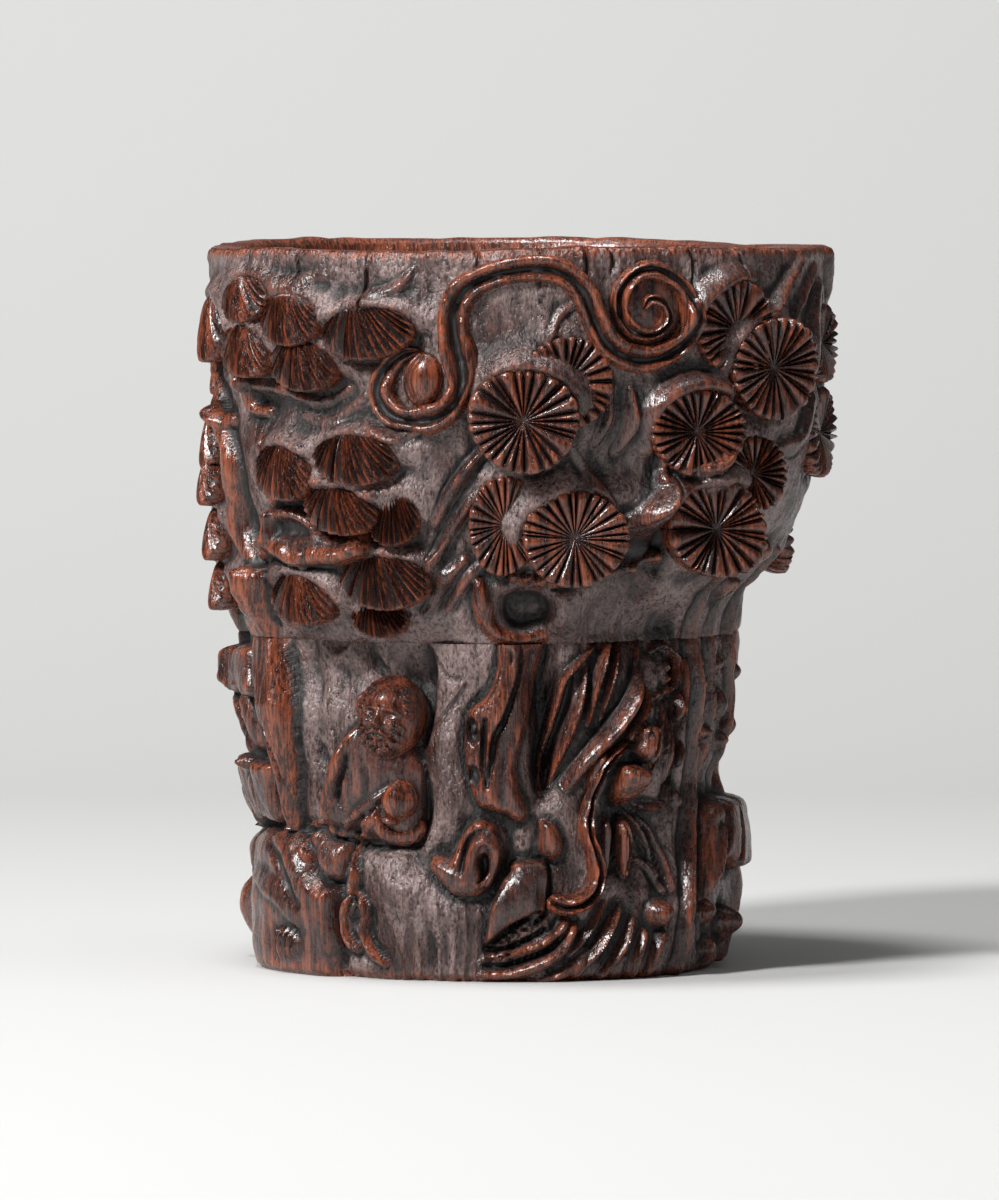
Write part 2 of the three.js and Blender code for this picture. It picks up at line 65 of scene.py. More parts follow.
def trunk_centre(height):
    return lean_across * (height / cup_height - lean_pivot)


# How much fuller it is than round at its sides: height, on the left, on the right
fullness = np.array([
    (0, 0.4, -2), (9.6, 0.8, -1.4), (21.6, 0, -2), (31.2, 3, -1), (38.4, 5.2, -0.6), (48, 4, -0.6),
    (54.7, 5, -1.4), (59.8, 4.2, 2), (69.8, 2.6, 2.8), (82.7, 0.4, 1.2), (95, 0.5, 0.4), (104, 1.8, 1.7),
])


def trunk_radius(angle, height):
    """The bare trunk's radius at an angle and a height."""
    below = foot_radius + (seam_radius - foot_radius) * height / seam_height
    share = np.clip((height - seam_height) / (cup_height - seam_height), 0, 1)
    above = seam_radius + (rim_radius - seam_radius) * np.sin(share * math.pi / 2) ** 0.85
    side = np.sin(np.radians(angle))
    left, right = (np.interp(height, fullness[:, 0], fullness[:, k]) for k in (1, 2))
    return np.where(height < seam_height, below, above) + np.where(side < 0, left, right) * side**2


def wall_point(angle, height, proud=0.0):
    """The point on the bare trunk at an angle and a height, moved outwards by so many millimetres."""
    turn = np.radians(angle)
    radius = trunk_radius(angle, height) + proud
    across = trunk_centre(height) + radius * np.sin(turn)
    return np.stack([across, -radius * np.cos(turn), height + 0 * turn], -1)


def smooth_way(way, step=0.6):
    """A Catmull-Rom curve through rows of numbers whose first two are an angle and a height."""
    rows = np.array(way, float)
    rows = np.vstack([2 * rows[0] - rows[1], rows, 2 * rows[-1] - rows[-2]])
    pieces = []
    for a, b, c, d in zip(rows, rows[1:], rows[2:], rows[3:]):
        length = math.hypot((c[0] - b[0]) * 0.65, c[1] - b[1])
        t = np.arange(0, 1, step / max(length, step))[:, None]
        bend, twist = 2 * a - 5 * b + 4 * c - d, 3 * b - a - 3 * c + d
        pieces.append(0.5 * (2 * b + (c - a) * t + bend * t**2 + twist * t**3))
    return np.vstack(pieces + [rows[-2:-1]])


lattice_size = 32
lattice = chance.random((lattice_size,) * 3)


def mottle(points, size):
    """Smooth noise from 0 to 1 with patches of about the given size, on points in millimetres."""
    spot = np.asarray(points) / size
    low = np.floor(spot).astype(int)
    part = spot - low
    part = part * part * (3 - 2 * part)
    total = 0
    for corner in np.ndindex(2, 2, 2):
        weight = np.prod(np.where(corner, part, 1 - part), axis=-1)
        i, j, k = np.moveaxis((low + corner) % lattice_size, -1, 0)
        total = total + weight * lattice[i, j, k]
    return total


def bell(*shares):
    """Falls smoothly from 1 towards 0 as any of the shares grows past 1."""
    return np.exp(-sum(share**2 for share in shares))


def beside_segment(x, y, start, end):
    """How far along a segment the place nearest to each point lies, from 0 to 1, and its distance."""
    step = end - start
    x, y = x - start[0], y - start[1]
    share = np.clip((x * step[0] + y * step[1]) / (step @ step + 1e-9), 0, 1)
    return share, np.hypot(x - share * step[0], y - share * step[1])


class Skin:
    """The carved outer skin of one block, as a net round the trunk: how far each point stands above the
    bare trunk, how far it is open ground, and how far hands have worn it to the red of the wood, or, below
    nought, how far painted shade darkens it.

    Forms are given by angle and height. The net is finer in front, where the carving is."""

    front_half, front_columns, back_columns = 95, 480, 140

    def __init__(self, bottom, top, rows):
        front = np.linspace(-self.front_half, self.front_half, self.front_columns, endpoint=False)
        back = np.linspace(self.front_half, 360 - self.front_half, self.back_columns, endpoint=False)
        heights = np.linspace(bottom, top, rows)
        self.angle, self.height = np.meshgrid(np.concatenate([front, back]), heights)
        self.rise = np.zeros_like(self.angle)
        self.ground = np.ones_like(self.angle)
        self.worn = np.zeros_like(self.angle)

    def local(self, angle, height, turn=0.0):
        """Millimetres across and up from a spot on the skin, in a frame turned by some degrees."""
        apart = (self.angle - angle + 180) % 360 - 180
        across = apart * math.radians(float(trunk_radius(np.array(0.0), np.array(float(height)))))
        up = self.height - height
        c, s = math.cos(math.radians(turn)), math.sin(math.radians(turn))
        return across * c + up * s, up * c - across * s

    def window(self, rows, reach):
        """The part of the net near a way, its points in millimetres from the way's middle, and the way."""
        middle = rows[:, :2].mean(0)
        across, up = self.local(*middle)
        scale = math.radians(float(trunk_radius(np.array(0.0), np.array(float(middle[1])))))
        line = np.column_stack([(rows[:, 0] - middle[0]) * scale, rows[:, 1] - middle[1]])
        low, high = line.min(0) - reach, line.max(0) + reach
        near = (across > low[0]) & (across < high[0]) & (up > low[1]) & (up < high[1])
        return near, across[near], up[near], line

    def beside(self, way, reach):
        """For each point near a way: its distance, its side, and the way's own numbers there."""
        rows = smooth_way(way)
        near, x, y, line = self.window(rows, rows[:, 2].max() + reach)
        best = np.full(x.shape, 1e9)
        side = np.zeros_like(x)
        values = np.zeros((len(x), rows.shape[1] - 2))
        for a, b, row, after in zip(line, line[1:], rows[:, 2:], rows[1:, 2:]):
            share, away = beside_segment(x, y, a, b)
            closer = away < best
            best[closer] = away[closer]
            side[closer] = np.sign((b - a)[0] * (y - a[1]) - (b - a)[1] * (x - a[0]))[closer]
            values[closer] = (row + (after - row) * share[:, None])[closer]
        return near, best, side, values

    def cover(self, near, share, worn, rise):
        """Ends the open ground where a form stands, and notes how worn the form is."""
        held = np.clip((1.2 - share) * 3, 0, 1)
        self.ground[near] *= 1 - held * min(abs(rise), 1) * 0.85
        self.worn[near] = np.maximum(self.worn[near] * (1 - 0.6 * held), worn * held)

    def ridge(self, *ways, crown=1.8, fall=0.8, lean=0, cove=0.25, spread=1, grain=0, worn=0.25):
        """Raised bands along rows of (angle, height, half width, rise), from keels to planks by their
        crown; lean moves the crest to one side. The ground sinks beside them."""
        for way in ways:
            near, away, side, values = self.beside(way, 2.5 * spread)
            width, rise = values[:, 0] * (1 + lean * side), values[:, 1]
            share = away / width
            shape = (1 - np.minimum(share, 1) ** crown) ** fall
            self.rise[near] += rise * shape - cove * bell((away - width) / spread)
            if grain:
                self.rise[near] += grain * shape * self.fibres(near)
            self.cover(near, share, worn, float(np.abs(rise).max(initial=0)))

    def groove(self, *ways, **shape):
        """Cuts grooves along such rows, with a negative rise and edges that hands never reached."""
        self.ridge(*ways, **{"cove": 0, "worn": 0} | shape)

    def fibres(self, near):
        """Fine uneven strands that follow the grain, from -0.5 to 0.5."""
        points = wall_point(self.angle[near], self.height[near])
        strands = mottle(points, np.array([0.75, 0.75, 9.0]))
        return strands + 0.5 * mottle(points + 5.1, np.array([0.4, 0.4, 5.0])) - 0.75

    def slab(self, outline, rise, rounding=1, cove=0.4, spread=1.2, grain=0, worn=0.25, shade_depth=0):
        """A raised or sunk area inside a smooth outline of (angle, height), with a rounded edge. Its last
        argument paints shade into its colour, darkening it as a shadow would."""
        near, x, y, line = self.window(smooth_way(list(outline) + [outline[0]]), 2.5 * spread)
        away = np.full(x.shape, 1e9)
        inside = np.zeros(x.shape, bool)
        for a, b in zip(line, line[1:]):
            away = np.minimum(away, beside_segment(x, y, a, b)[1])
            if a[1] != b[1]:
                edge_x = a[0] + (y - a[1]) * (b - a)[0] / (b - a)[1]
                inside ^= ((a[1] > y) != (b[1] > y)) & (x < edge_x)
        edge = np.where(inside, np.clip(away / rounding, 0, 1), 0)
        shape = np.sqrt(1 - (1 - edge) ** 2) if rise > 0 else edge**2 * (3 - 2 * edge)
        self.rise[near] += rise * shape - cove * bell(away / spread)
        if grain:
            self.rise[near] += grain * shape * self.fibres(near)
        if rise > 0:
            self.cover(near, np.where(inside, 0.0, 1 + away), worn, rise)
        # Painted shade: the area's colour is marked darker.
        self.worn[near] -= shade_depth * shape

    def lump(self, *spots, crown=2.0, cove=0.4, spread=1.2, worn=0.25):
        """Rounded or flat-topped bosses at (angle, height, half width, half height, rise, turn), the turn
        left out where it is 0; a negative rise cuts a hollow."""
        for angle, height, half_wide, half_tall, rise, *turn in spots:
            x, y = self.local(angle, height, *turn)
            share = np.hypot(x / half_wide, y / half_tall)
            away = (share - 1) * min(half_wide, half_tall)
            self.rise += rise * (1 - np.minimum(share, 1) ** crown) ** 0.6 - cove * bell(away / spread)
            self.cover(slice(None), share, worn, max(rise, 0))

    def swell(self, *spots):
        """Soft swellings and dips with no edge, given as the bosses are."""
        for angle, height, half_wide, half_tall, rise, *turn in spots:
            x, y = self.local(angle, height, *turn)
            self.rise += rise * bell(x / half_wide, y / half_tall)

    def crescent(self, angle, height, half_wide, half_tall, rise, heading, opening, width, turn=0):
        """Lifts or sinks the ground along part of an oval's edge: heading and opening are degrees from up."""
        x, y = self.local(angle, height, turn)
        share = np.hypot(x / half_wide, y / half_tall)
        away = (share - 1) * math.sqrt(half_wide * half_tall)
        bearing = np.arctan2(x / half_wide, y / half_tall) - math.radians(heading)
        end = math.cos(math.radians(opening))
        along = np.clip((np.cos(bearing) - end) / (1 - end), 0, 1) ** 0.7
        self.rise += rise * along * bell((away - 0.3) / np.where(away > 0.3, width, 1.2))

    def chisel(self, depth, across, along):
        """The tool's small uneven strokes, which follow the grain."""
        points = wall_point(self.angle, self.height) / np.array([across, across, along])
        strokes = mottle(points, 1.0) + 0.5 * mottle(points + 7.3, 0.5) - 0.75
        self.rise += depth * strokes * (0.4 + 0.6 * self.ground)


def closed_ring(name, loops):
    """A mesh from loops of points, each joined to the next, and the last back to the first."""
    rows, columns = loops.shape[:2]
    index = np.arange(rows * columns).reshape(rows, columns)
    right, up = np.roll(index, -1, 1), np.roll(index, -1, 0)
    faces = np.stack([index, right, np.roll(right, -1, 0), up], -1).reshape(-1, 4)
    return mesh_piece(name, loops.reshape(-1, 3), faces)


def shade_smooth(mesh, crease=64):
    """Shades a mesh smooth, but for edges that turn by more degrees than the crease."""
    mesh.polygons.foreach_set("use_smooth", np.ones(len(mesh.polygons), bool))
    mesh.set_sharp_from_angle(angle=math.radians(crease))


def mesh_piece(name, points, faces):
    """A smooth-shaded object from points in millimetres and faces of three or four corners."""
    mesh = bpy.data.meshes.new(name)
    mesh.from_pydata((np.asarray(points) * MM).tolist(), [], np.asarray(faces).tolist())
    mesh.update()
    shade_smooth(mesh)
    piece = bpy.data.objects.new(name, mesh)
    bpy.context.scene.collection.objects.link(piece)
    return piece


def mark_wear_and_shade(piece, passes=18, ground=0.0, worn=0.0, quiet=None):
    """Marks where hands have worn the wood and where its hollows are painted dark as shade, from how far
    each point stands above or below its smoothed surroundings, close by and further round."""
    mesh = piece.data
    count = len(mesh.vertices)

    def read(rows, name, width, kind=float):
        values = np.empty(len(rows) * width, kind)
        rows.foreach_get(name, values)
        return values.reshape(-1, width)

    place = read(mesh.vertices, "co", 3) / MM
    normal = read(mesh.vertices, "normal", 3)
    a, b = read(mesh.edges, "vertices", 2, int).T
    links = np.bincount(np.concatenate([a, b]), minlength=count)[:, None]

    def spread(values, times):
        for _ in range(times):
            total = np.empty_like(values)
            for k in range(values.shape[1]):
                total[:, k] = np.bincount(a, values[b, k], count) + np.bincount(b, values[a, k], count)
            values = 0.5 * values + 0.5 * total / links
        return values

    near = spread(place, passes)
    far = spread(near, 5 * passes)
    stand = spread(((place - near) * normal).sum(1, keepdims=True), 2)[:, 0]
    broad = spread(((place - far) * normal).sum(1, keepdims=True), 2)[:, 0]
    if quiet is not None:
        stand, broad = stand[quiet], broad[quiet]
    for name, values in (("stand", stand), ("broad", broad), ("ground", ground), ("worn", worn)):
        mark(piece, name, np.broadcast_to(values, count))


def mark(piece, name, values):
    layer = piece.data.attributes.new(name, "FLOAT", "POINT")
    layer.data.foreach_set("value", np.asarray(values, np.float32))


class Shade:
    """A value in a material: arithmetic on it adds Math nodes."""

    def __init__(self, tree, socket):
        self.tree, self.socket = tree, socket

    def math(self, operation, first, second, clamp=False):
        node = self.tree.nodes.new("ShaderNodeMath")
        node.operation, node.use_clamp = operation, clamp
        for slot, value in zip(node.inputs, (first, second)):
            plug(self.tree, slot, value)
        return Shade(self.tree, node.outputs[0])

    def __add__(self, other):
        return self.math("ADD", self, other)

    def __sub__(self, other):
        return self.math("SUBTRACT", self, other)

    def __rsub__(self, other):
        return self.math("SUBTRACT", other, self)

    def __mul__(self, other):
        return self.math("MULTIPLY", self, other)

    def clamped(self):
        return self.math("ADD", self, 0.0, clamp=True)


def plug(tree, slot, value):
    if isinstance(value, Shade):
        tree.links.new(value.socket, slot)
    else:
        slot.default_value = value


class Finish:
    """One material's node tree. Every node but a Math node comes from its node method, which takes a
    socket's name with _ for a space, or its number after an i."""

    def __init__(self, name):
        self.material = bpy.data.materials.new(name)
        self.material.use_nodes = True
        self.tree = self.material.node_tree
        self.shader = self.tree.nodes["Principled BSDF"]

    def node(self, kind, settings=None, output=0, **inputs):
        node = self.tree.nodes.new("ShaderNode" + kind)
        for key, value in (settings or {}).items():
            setattr(node, key, value)
        for key, value in inputs.items():
            numbered = key[0] == "i" and key[1:].isdigit()
            plug(self.tree, node.inputs[int(key[1:]) if numbered else key.replace("_", " ")], value)
        return Shade(self.tree, node.outputs[output])

    def mix(self, share, first, second):
        return self.node("Mix", {"data_type": "RGBA"}, 2, i0=share, i6=first, i7=second)

    def noise(self, place, size, stretch=1.0, detail=2.0, offset=0.0):
        """Noise with patches of the given size in millimetres, drawn out up the grain by stretch."""
        scale = (1 / (size * MM), 1 / (size * MM), 1 / (size * stretch * MM))
        scaled = self.node("Mapping", Vector=place, Location=(offset,) * 3, Scale=scale)
        return self.node("TexNoise", Vector=scaled, Scale=1.0, Detail=detail)

    def set(self, **values):
        for key, value in values.items():
            plug(self.tree, self.shader.inputs[key.replace("_", " ")], value)


def rosewood(name):
    """Old waxed rosewood: red-brown along the grain, orange-red where worn, and on the open ground a dull
    lilac grey that is partly wax and dust and partly painted sheen. Hollows and creases are painted near
    black as shade."""
    finish = Finish(name)
    place = finish.node("TexCoord", output=3)

    def marked(name):
        return finish.node("Attribute", {"attribute_name": name}, 2)

    stand, broad, ground, worn, crest = map(marked, ("stand", "broad", "ground", "worn", "crest"))
    grain = finish.noise(place, 0.34, 14, 3)
    streak = finish.noise(place, 1.4, 9, 2, 3.0)
    fleck = finish.noise(place, 0.5, 1.5, 4, 5.0)
    facet = finish.noise(place, 1.5, 1.8, 1, 6.0)
    pore = finish.noise(place, 0.17, 9, 1, 9.0)
    patch = finish.noise(place, 7.0, 1.5, 3, 2.0)

    rubbed = (worn * 1.25 + stand * 2.2 + crest * 1.1 - 0.45 + (streak - 0.5) * 1.4).clamped()
    # Painted shade: hollows, creases and rib grooves found from the relief, and coves marked below nought,
    # darken towards black as if in shadow.
    cove_shade = (0 - worn).clamped()
    recess_shade = stand * -4.8 + broad * -0.8 + crest * -1.5 - 0.06
    painted_shade = (recess_shade + (fleck - 0.5) * 0.6 + cove_shade).clamped()
    figure = ((grain - 0.5) * 3.4 + (streak - 0.5) * 2.2 + 0.42).clamped()
    dark_heart, light_heart = (0.012, 0.0040, 0.0030, 1), (0.075, 0.021, 0.014, 1)
    dark_red, bright_red = (0.040, 0.0085, 0.0045, 1), (0.30, 0.072, 0.027, 1)
    # The first black is the wood's pores; the second is the painted shade.
    pore_black, shade_black = (0.004, 0.002, 0.0017, 1), (0.0025, 0.0013, 0.0012, 1)
    # This grey is partly wax and dust and partly painted sheen, on the open ground and the broad rises.
    wax_and_sheen_grey = (0.215, 0.150, 0.140, 1)
    specks = (fleck - 0.5) * 4.0 + (streak - 0.5) * 2.0 + 0.9
    dust_and_sheen = (ground * ((patch - 0.5) * 3.4 + 0.62) * specks + broad * 0.08).clamped()
    waxed_and_sheened = finish.mix(dust_and_sheen, finish.mix(figure, dark_heart, light_heart), wax_and_sheen_grey)
    coloured = finish.mix(rubbed * 0.85, waxed_and_sheened, finish.mix(figure, dark_red, bright_red))
    pored = finish.mix(((pore - 0.6) * 9).clamped() * 0.75, coloured, pore_black)
    finish.set(Base_Color=finish.mix(painted_shade * 0.94, pored, shade_black))

    rough = ground * 0.04 + (fleck - 0.5) * 0.4 + 0.24 + painted_shade * 0.3
    finish.set(Roughness=rough.clamped(), Specular_IOR_Level=0.65)
    pits = fleck * (ground * 0.30 + 0.06) + facet * (ground * 0.40 + 0.10)
    height = pits + grain * 0.05 - ((pore - 0.6) * 6).clamped() * 0.05
    finish.set(Normal=finish.node("Bump", Strength=1.0, Distance=MM, Height=height))
    return finish.material


carved_wood = rosewood("carved_rosewood")


# The carved skin of both blocks: first the broad swellings and dips that run on across the seam, and the
# stems and posts that climb through it.
upper = Skin(seam_height, cup_height, 143)
lower = Skin(0.0, seam_height, 134)

# Swellings and dips: angle, height, half width, half height and rise
swells = (
    (56, 84, 15, 15, 1.8), (43, 66, 10, 9, 2.8), (84, 78, 12, 8, 1.2), (24, 67, 5, 4, 1.6),
    (-62, 91, 12, 7, 1.4), (-36, 70, 14, 7, 1), (-36, 55, 12, 4, 1), (-84, 66, 6, 13, 0.8),
    (5, 82, 9, 7, 0.8), (6, 62, 11, 5, 1), (118, 84, 14, 12, 1.8), (146, 66, 14, 10, 2.2),
    (-150, 88, 14, 9, 1.8), (-126, 68, 14, 9, 1.8), (176, 80, 10, 9, 1.4), (52, 51, 22, 5, -2.4),
    (33, 61, 5, 4, -3.2), (-66, 63, 6, 7, -1.6), (-50, 64.5, 7, 2.6, -1.4), (-56, 81.5, 8, 3, -1.2),
    (-92, 81, 6, 3.4, -1.6), (-10, 73, 6, 6, -0.8), (20, 74, 6, 5, -1.2), (68, 61, 8, 4, -1.6),
    (120, 55, 14, 6, -1.8), (-128, 54, 12, 4, -1.2), (170, 58, 12, 8, -1.6), (-70, 10, 10, 9, 0.6),
    (-28, 12, 12, 6, 1.4), (2, 34, 6, 16, 1.6), (-8, 12, 14, 5, 1.2), (18, 4, 14, 5, 1.4),
    (46, 8, 8, 7, 1.4), (34, 31, 5, 5, 1.2), (110, 12, 16, 9, 2), (150, 10, 16, 8, 2.2),
    (-150, 12, 16, 9, 2), (-112, 14, 12, 9, 0.8), (-40, 44, 12, 5, -1.8), (-48, 36, 4, 8, -1),
    (-22, 42, 8, 6, -1.6), (-22, 34, 5, 7, -1.2), (8, 40, 3.5, 10, -2.4), (7, 30, 3, 5, -1.8),
    (34, 47, 8, 4, -1.6), (29, 25, 6, 2.6, -2), (62, 30, 5, 10, -1.6), (44, 20, 7, 5, -1.2),
    (70, 42, 8, 8, -1), (80, 27.6, 14, 3.4, -2.2), (100, 34, 10, 10, -1.8), (136, 30, 10, 12, -2),
    (176, 32, 10, 12, -2), (-126, 32, 10, 12, -2),
)

# Stems and posts: rows of angle, height, half width and rise, as in every ridge and groove below
climbing = (
    [(-77, 80, 1.5, 1.4), (-71.5, 73.6, 1.8, 2.2), (-71.2, 68, 1.7, 2.2), (-71, 63, 1.7, 2.2),
     (-67, 58, 2.2, 1.8), (-65, 53, 2.4, 0.8)],
    [(55, 58, 1, 0.8), (55.4, 48, 1.4, 1.6), (56.6, 40, 1.4, 1.9), (57.4, 30, 1.4, 2),
     (56.4, 22.4, 1.4, 2.2), (54.6, 16.9, 1.4, 2.2), (52.2, 12.4, 1.3, 2), (50.2, 7.4, 1.3, 1.9),
     (49.4, 0, 1.2, 1.6)],
    [(64, 60, 0.8, 0.6), (66, 48, 1, 1.2), (67, 38, 0.9, 1.2), (66, 30, 0.8, 0.9), (67, 25, 0.6, 0.5)],
    [(80, 60, 1.2, 0.8), (78, 48, 1.4, 1.3), (80, 38, 1.3, 1.4), (77, 29, 1.2, 1), (78, 25, 0.9, 0.5)],
    [(99, 60, 1.6, 0.8), (99, 48, 2.6, 1.6), (101, 36, 2.4, 1.8), (97, 24, 2.4, 1.8), (100, 12, 2.8, 1.8),
     (97, 0, 3, 1.6)],
    [(118, 90, 1.3, 1), (110, 80, 1.6, 1.6), (116, 70, 1.9, 2), (110, 60, 2.2, 2.4), (114, 48, 2.6, 2.4),
     (116, 36, 2.4, 2.4), (122, 24, 2.4, 2.6), (112, 12, 2.8, 2.6), (114, 0, 3.2, 2.4)],
    [(160, 84, 1.1, 1), (142, 76, 1.4, 1.4), (134, 66, 1.7, 1.8), (138, 57, 2, 2.2), (146, 48, 2.6, 2.4),
     (154, 36, 2.4, 2.6), (146, 24, 2.4, 2.6), (154, 12, 2.8, 2.6), (148, 0, 3.2, 2.4)],
    [(186, 80, 1.3, 1.2), (170, 70, 1.6, 1.6), (164, 60, 2, 2), (180, 48, 2.4, 2.2), (194, 34, 2.2, 2.4),
     (188, 20, 2.2, 2.4), (196, 8, 2.6, 2.4), (200, 0, 3, 2.2)],
    [(-152, 90, 1.2, 1), (-143, 78, 1.5, 1.6), (-150, 68, 1.9, 2), (-144, 58, 2.3, 2.4),
     (-140, 48, 2.8, 2.4), (-136, 34, 2.4, 2.6), (-144, 20, 2.4, 2.6), (-136, 8, 2.8, 2.4),
     (-140, 0, 3.2, 2.2)],
    [(-120, 92, 1, 0.8), (-122, 78, 1.3, 1.2), (-112, 66, 1.6, 1.8), (-116, 57, 1.9, 2),
     (-110, 48, 2.3, 2.2), (-108, 34, 2, 2.2), (-114, 20, 2, 2.4), (-106, 8, 2.4, 2.2), (-108, 0, 2.8, 2)],
    [(-100, 84, 1.2, 1), (-94, 72, 1.4, 1.4), (-98, 60, 1.6, 1.8), (-94, 50, 1.8, 2), (-90, 40, 1.8, 1.8),
     (-84, 36.5, 1.6, 1.8), (-80, 32.8, 1.4, 1.6), (-76, 29.6, 1.1, 1.2)],
)

# The outline of the flat post at the left, by angle and height
plank = [
    (-71.5, 58), (-70.4, 50), (-70.2, 45), (-68.4, 41.9), (-66.6, 39.1), (-65.4, 34.5), (-64.8, 31.2),
    (-64.4, 27.3), (-64, 23.6), (-63.6, 20.6), (-60.4, 20.6), (-59.6, 23.6), (-58.4, 27), (-57.4, 31),
    (-57, 35), (-57.6, 39.5), (-59, 43.5), (-60.8, 47), (-61.4, 51), (-61.4, 58),
]
for skin in (upper, lower):
    skin.swell(*swells)
    skin.ridge(climbing[0], crown=2.6, grain=0.4, worn=0.85)
    skin.ridge(*climbing[1:], crown=1.5, grain=0.3, worn=0.35)
    skin.slab(plank, 2.9, 1.3, cove=0.3, spread=1, grain=0.4, worn=0.95)
    skin.chisel(0.9, across=5, along=9)


# The upper block's wall. One hollowed block, cut from outside into a canopy of clouds of needles over
# a smoothed ground, left rough at the rim, with drying checks that run down the grain.

# Clusters seen from above: angle, height, half width, half height, how proud they stand, and turn
shell_places = (
    (-59, 96.6, 5.8, 3.4, 2.4, 4), (-46, 93.8, 5.8, 3.7, 3, -6), (-57.8, 89.2, 6, 3.6, 3, -14),
    (-43.4, 87.4, 6.2, 3.6, 3, -12), (-28.6, 92.2, 7.2, 3.9, 3.2, 2), (-75.5, 92.2, 5, 5, 2.6, -10),
    (-49.3, 72.1, 5.9, 3.9, 3, -16), (-31.8, 74.2, 6.7, 3.7, 3.2, -4), (-24.6, 66, 3.9, 4, 2.4, -10),
    (-35.6, 67, 6.4, 3.5, 3.4, -10), (-48.6, 54.1, 6.2, 3.7, 3, -12), (-30.6, 51.6, 4.4, 2.8, 1.6, -4),
    (-27.4, 56.8, 6.9, 4, 3.2, -4), (-82, 76, 5, 4.2, 2.6, -6), (-82.5, 70, 4.6, 3.6, 2.8, -6),
    (-83, 62.4, 4.6, 3.9, 2.6, -6), (-86, 54.9, 4.4, 3.7, 2.4, -6), (-96, 92, 5.6, 4.2, 2.2, 8),
    (-102, 85.5, 5.6, 3.8, 2, -6), (-148, 96, 6.2, 3.8, 2.4, 4), (-134, 92, 6.2, 3.8, 2.6, -8),
    (-150, 88.6, 6, 3.8, 2.6, 6), (-136, 84.6, 5.8, 3.7, 2.4, -8), (-118, 74, 6.2, 3.8, 2.6, -4),
    (-134, 70, 6.2, 3.8, 2.6, 6), (-120, 66.2, 5.8, 3.7, 2.6, -8), (-140, 62.4, 6, 3.8, 2.4, 6),
    (-108, 58, 5.6, 3.7, 2.4, -4),
)

# Those seen full on: the same five numbers, yaw, tip, the depth of the dish and the ribs' crown
wheel_places = (
    (9, 85.4, 6.8, 6.6, 1.5, 4, 4, 0.4, 2.2), (1.4, 79.9, 7.6, 7.4, 4.4, 0, -2, 0.6, 2.2),
    (-1.8, 65.2, 5.2, 6.9, 1.7, 6, 0, 0.3, 5), (12.6, 63.2, 7.7, 6.6, 3.2, -6, -2, 0.5, 4),
    (43, 92.8, 6.8, 6.6, 2.2, -8, 4, 0.4, 2.2), (51.5, 87.2, 7.6, 7, 3.6, -16, 4, 0.6, 2.2),
    (35.7, 78.4, 7.2, 6.2, 2.8, -12, 6, 0.6, 2.2), (49.5, 72, 5.4, 5.4, 1.8, -20, 0, 0.4, 2.2),
    (42, 64.3, 7.6, 7, 3.5, -16, 0, 0.7, 2.2), (81, 77, 7, 6.4, 1, -6, 0, 0.4, 2.2),
    (78, 90, 5.6, 5.6, 1.3, -6, 0, 0.4, 2.2), (116, 90, 7.4, 7.2, 1.8, 0, 0, 0.5, 2.2),
    (112, 78, 6.6, 6.6, 1.8, 0, 0, 0.5, 2.2), (148, 72, 7.2, 6.8, 2.4, 0, 0, 0.5, 2.2),
    (136, 63, 6.4, 6.2, 2.4, 0, 0, 0.5, 2.2), (172, 90, 7.2, 6.8, 2.2, 0, 0, 0.5, 2.2),
    (160, 84, 6.2, 6, 2, 0, 0, 0.5, 2.2), (104, 62, 6.2, 6, 1.2, 0, 0, 0.5, 2.2),
)

# Boughs: rows of angle, height, half width and rise
upper.ridge(
    [(-57.1, 77, 0.6, 0.8), (-56.2, 70.9, 0.7, 1), (-56.1, 66, 0.8, 1.2), (-57, 62.5, 1.2, 1.6),
     (-63, 60, 1.3, 1.6)],
    [(-62.6, 86, 1, 1.6), (-63.2, 83.2, 1.3, 2), (-62.4, 81, 1.3, 1.8), (-57.5, 80.6, 0.9, 1)],
    [(-84.6, 88, 1.6, 1.4), (-81.5, 84.3, 1.6, 1.6), (-77, 80, 1.5, 1.6), (-72, 79, 1.4, 1.4)],
    [(34.5, 72.8, 1.1, 1.6), (39.5, 73.5, 1.3, 2.2), (42.2, 75, 1.2, 2.2), (45, 76.8, 1, 1.6)],
    [(29.5, 71.6, 0.8, 1.2), (30.2, 74, 1, 1.6), (31.6, 75.9, 1.1, 2.6), (33.2, 77.2, 0.9, 2.4)],
    worn=0.8, grain=0.2,
)

# The torn ledge under the middle clusters, its broken edge worn orange, and the smooth hollow above it
upper.slab([(-59, 66.4), (-50, 67.2), (-44, 65.6), (-38, 63.6), (-30.6, 64.2), (-29.6, 61), (-31.8, 59.8),
    (-36, 59), (-41.1, 59), (-47, 58.6), (-53.3, 59.4), (-59, 60.6)], 2.4, 1.1, cove=0.5, grain=0.2,
    worn=0.2)
upper.slab([(-56, 65.4), (-50, 66.2), (-45, 65), (-43, 63), (-48, 62.2), (-55, 62.6)], -1.1, 1.4, cove=0)
upper.ridge([(-58, 61.8, 0.9, 0.3), (-52, 60.9, 1.1, 0.5), (-47, 60, 1.1, 0.4), (-41, 60.4, 1.2, 0.5),
    (-36, 60.4, 1.2, 0.4), (-31.5, 61.4, 1, 0.3)], crown=2.6, cove=0, grain=0.8, worn=1.1)
upper.slab([(-35, 63.4), (-31, 64), (-31, 61.6), (-34, 61.2)], 0.8, 0.8, cove=0.2, worn=0.5)

# The low disc that the vine's spiral is cut on
upper.lump((25.4, 95.4, 4.8, 5.4, 1.1), crown=3, cove=0.2, worn=0.4)

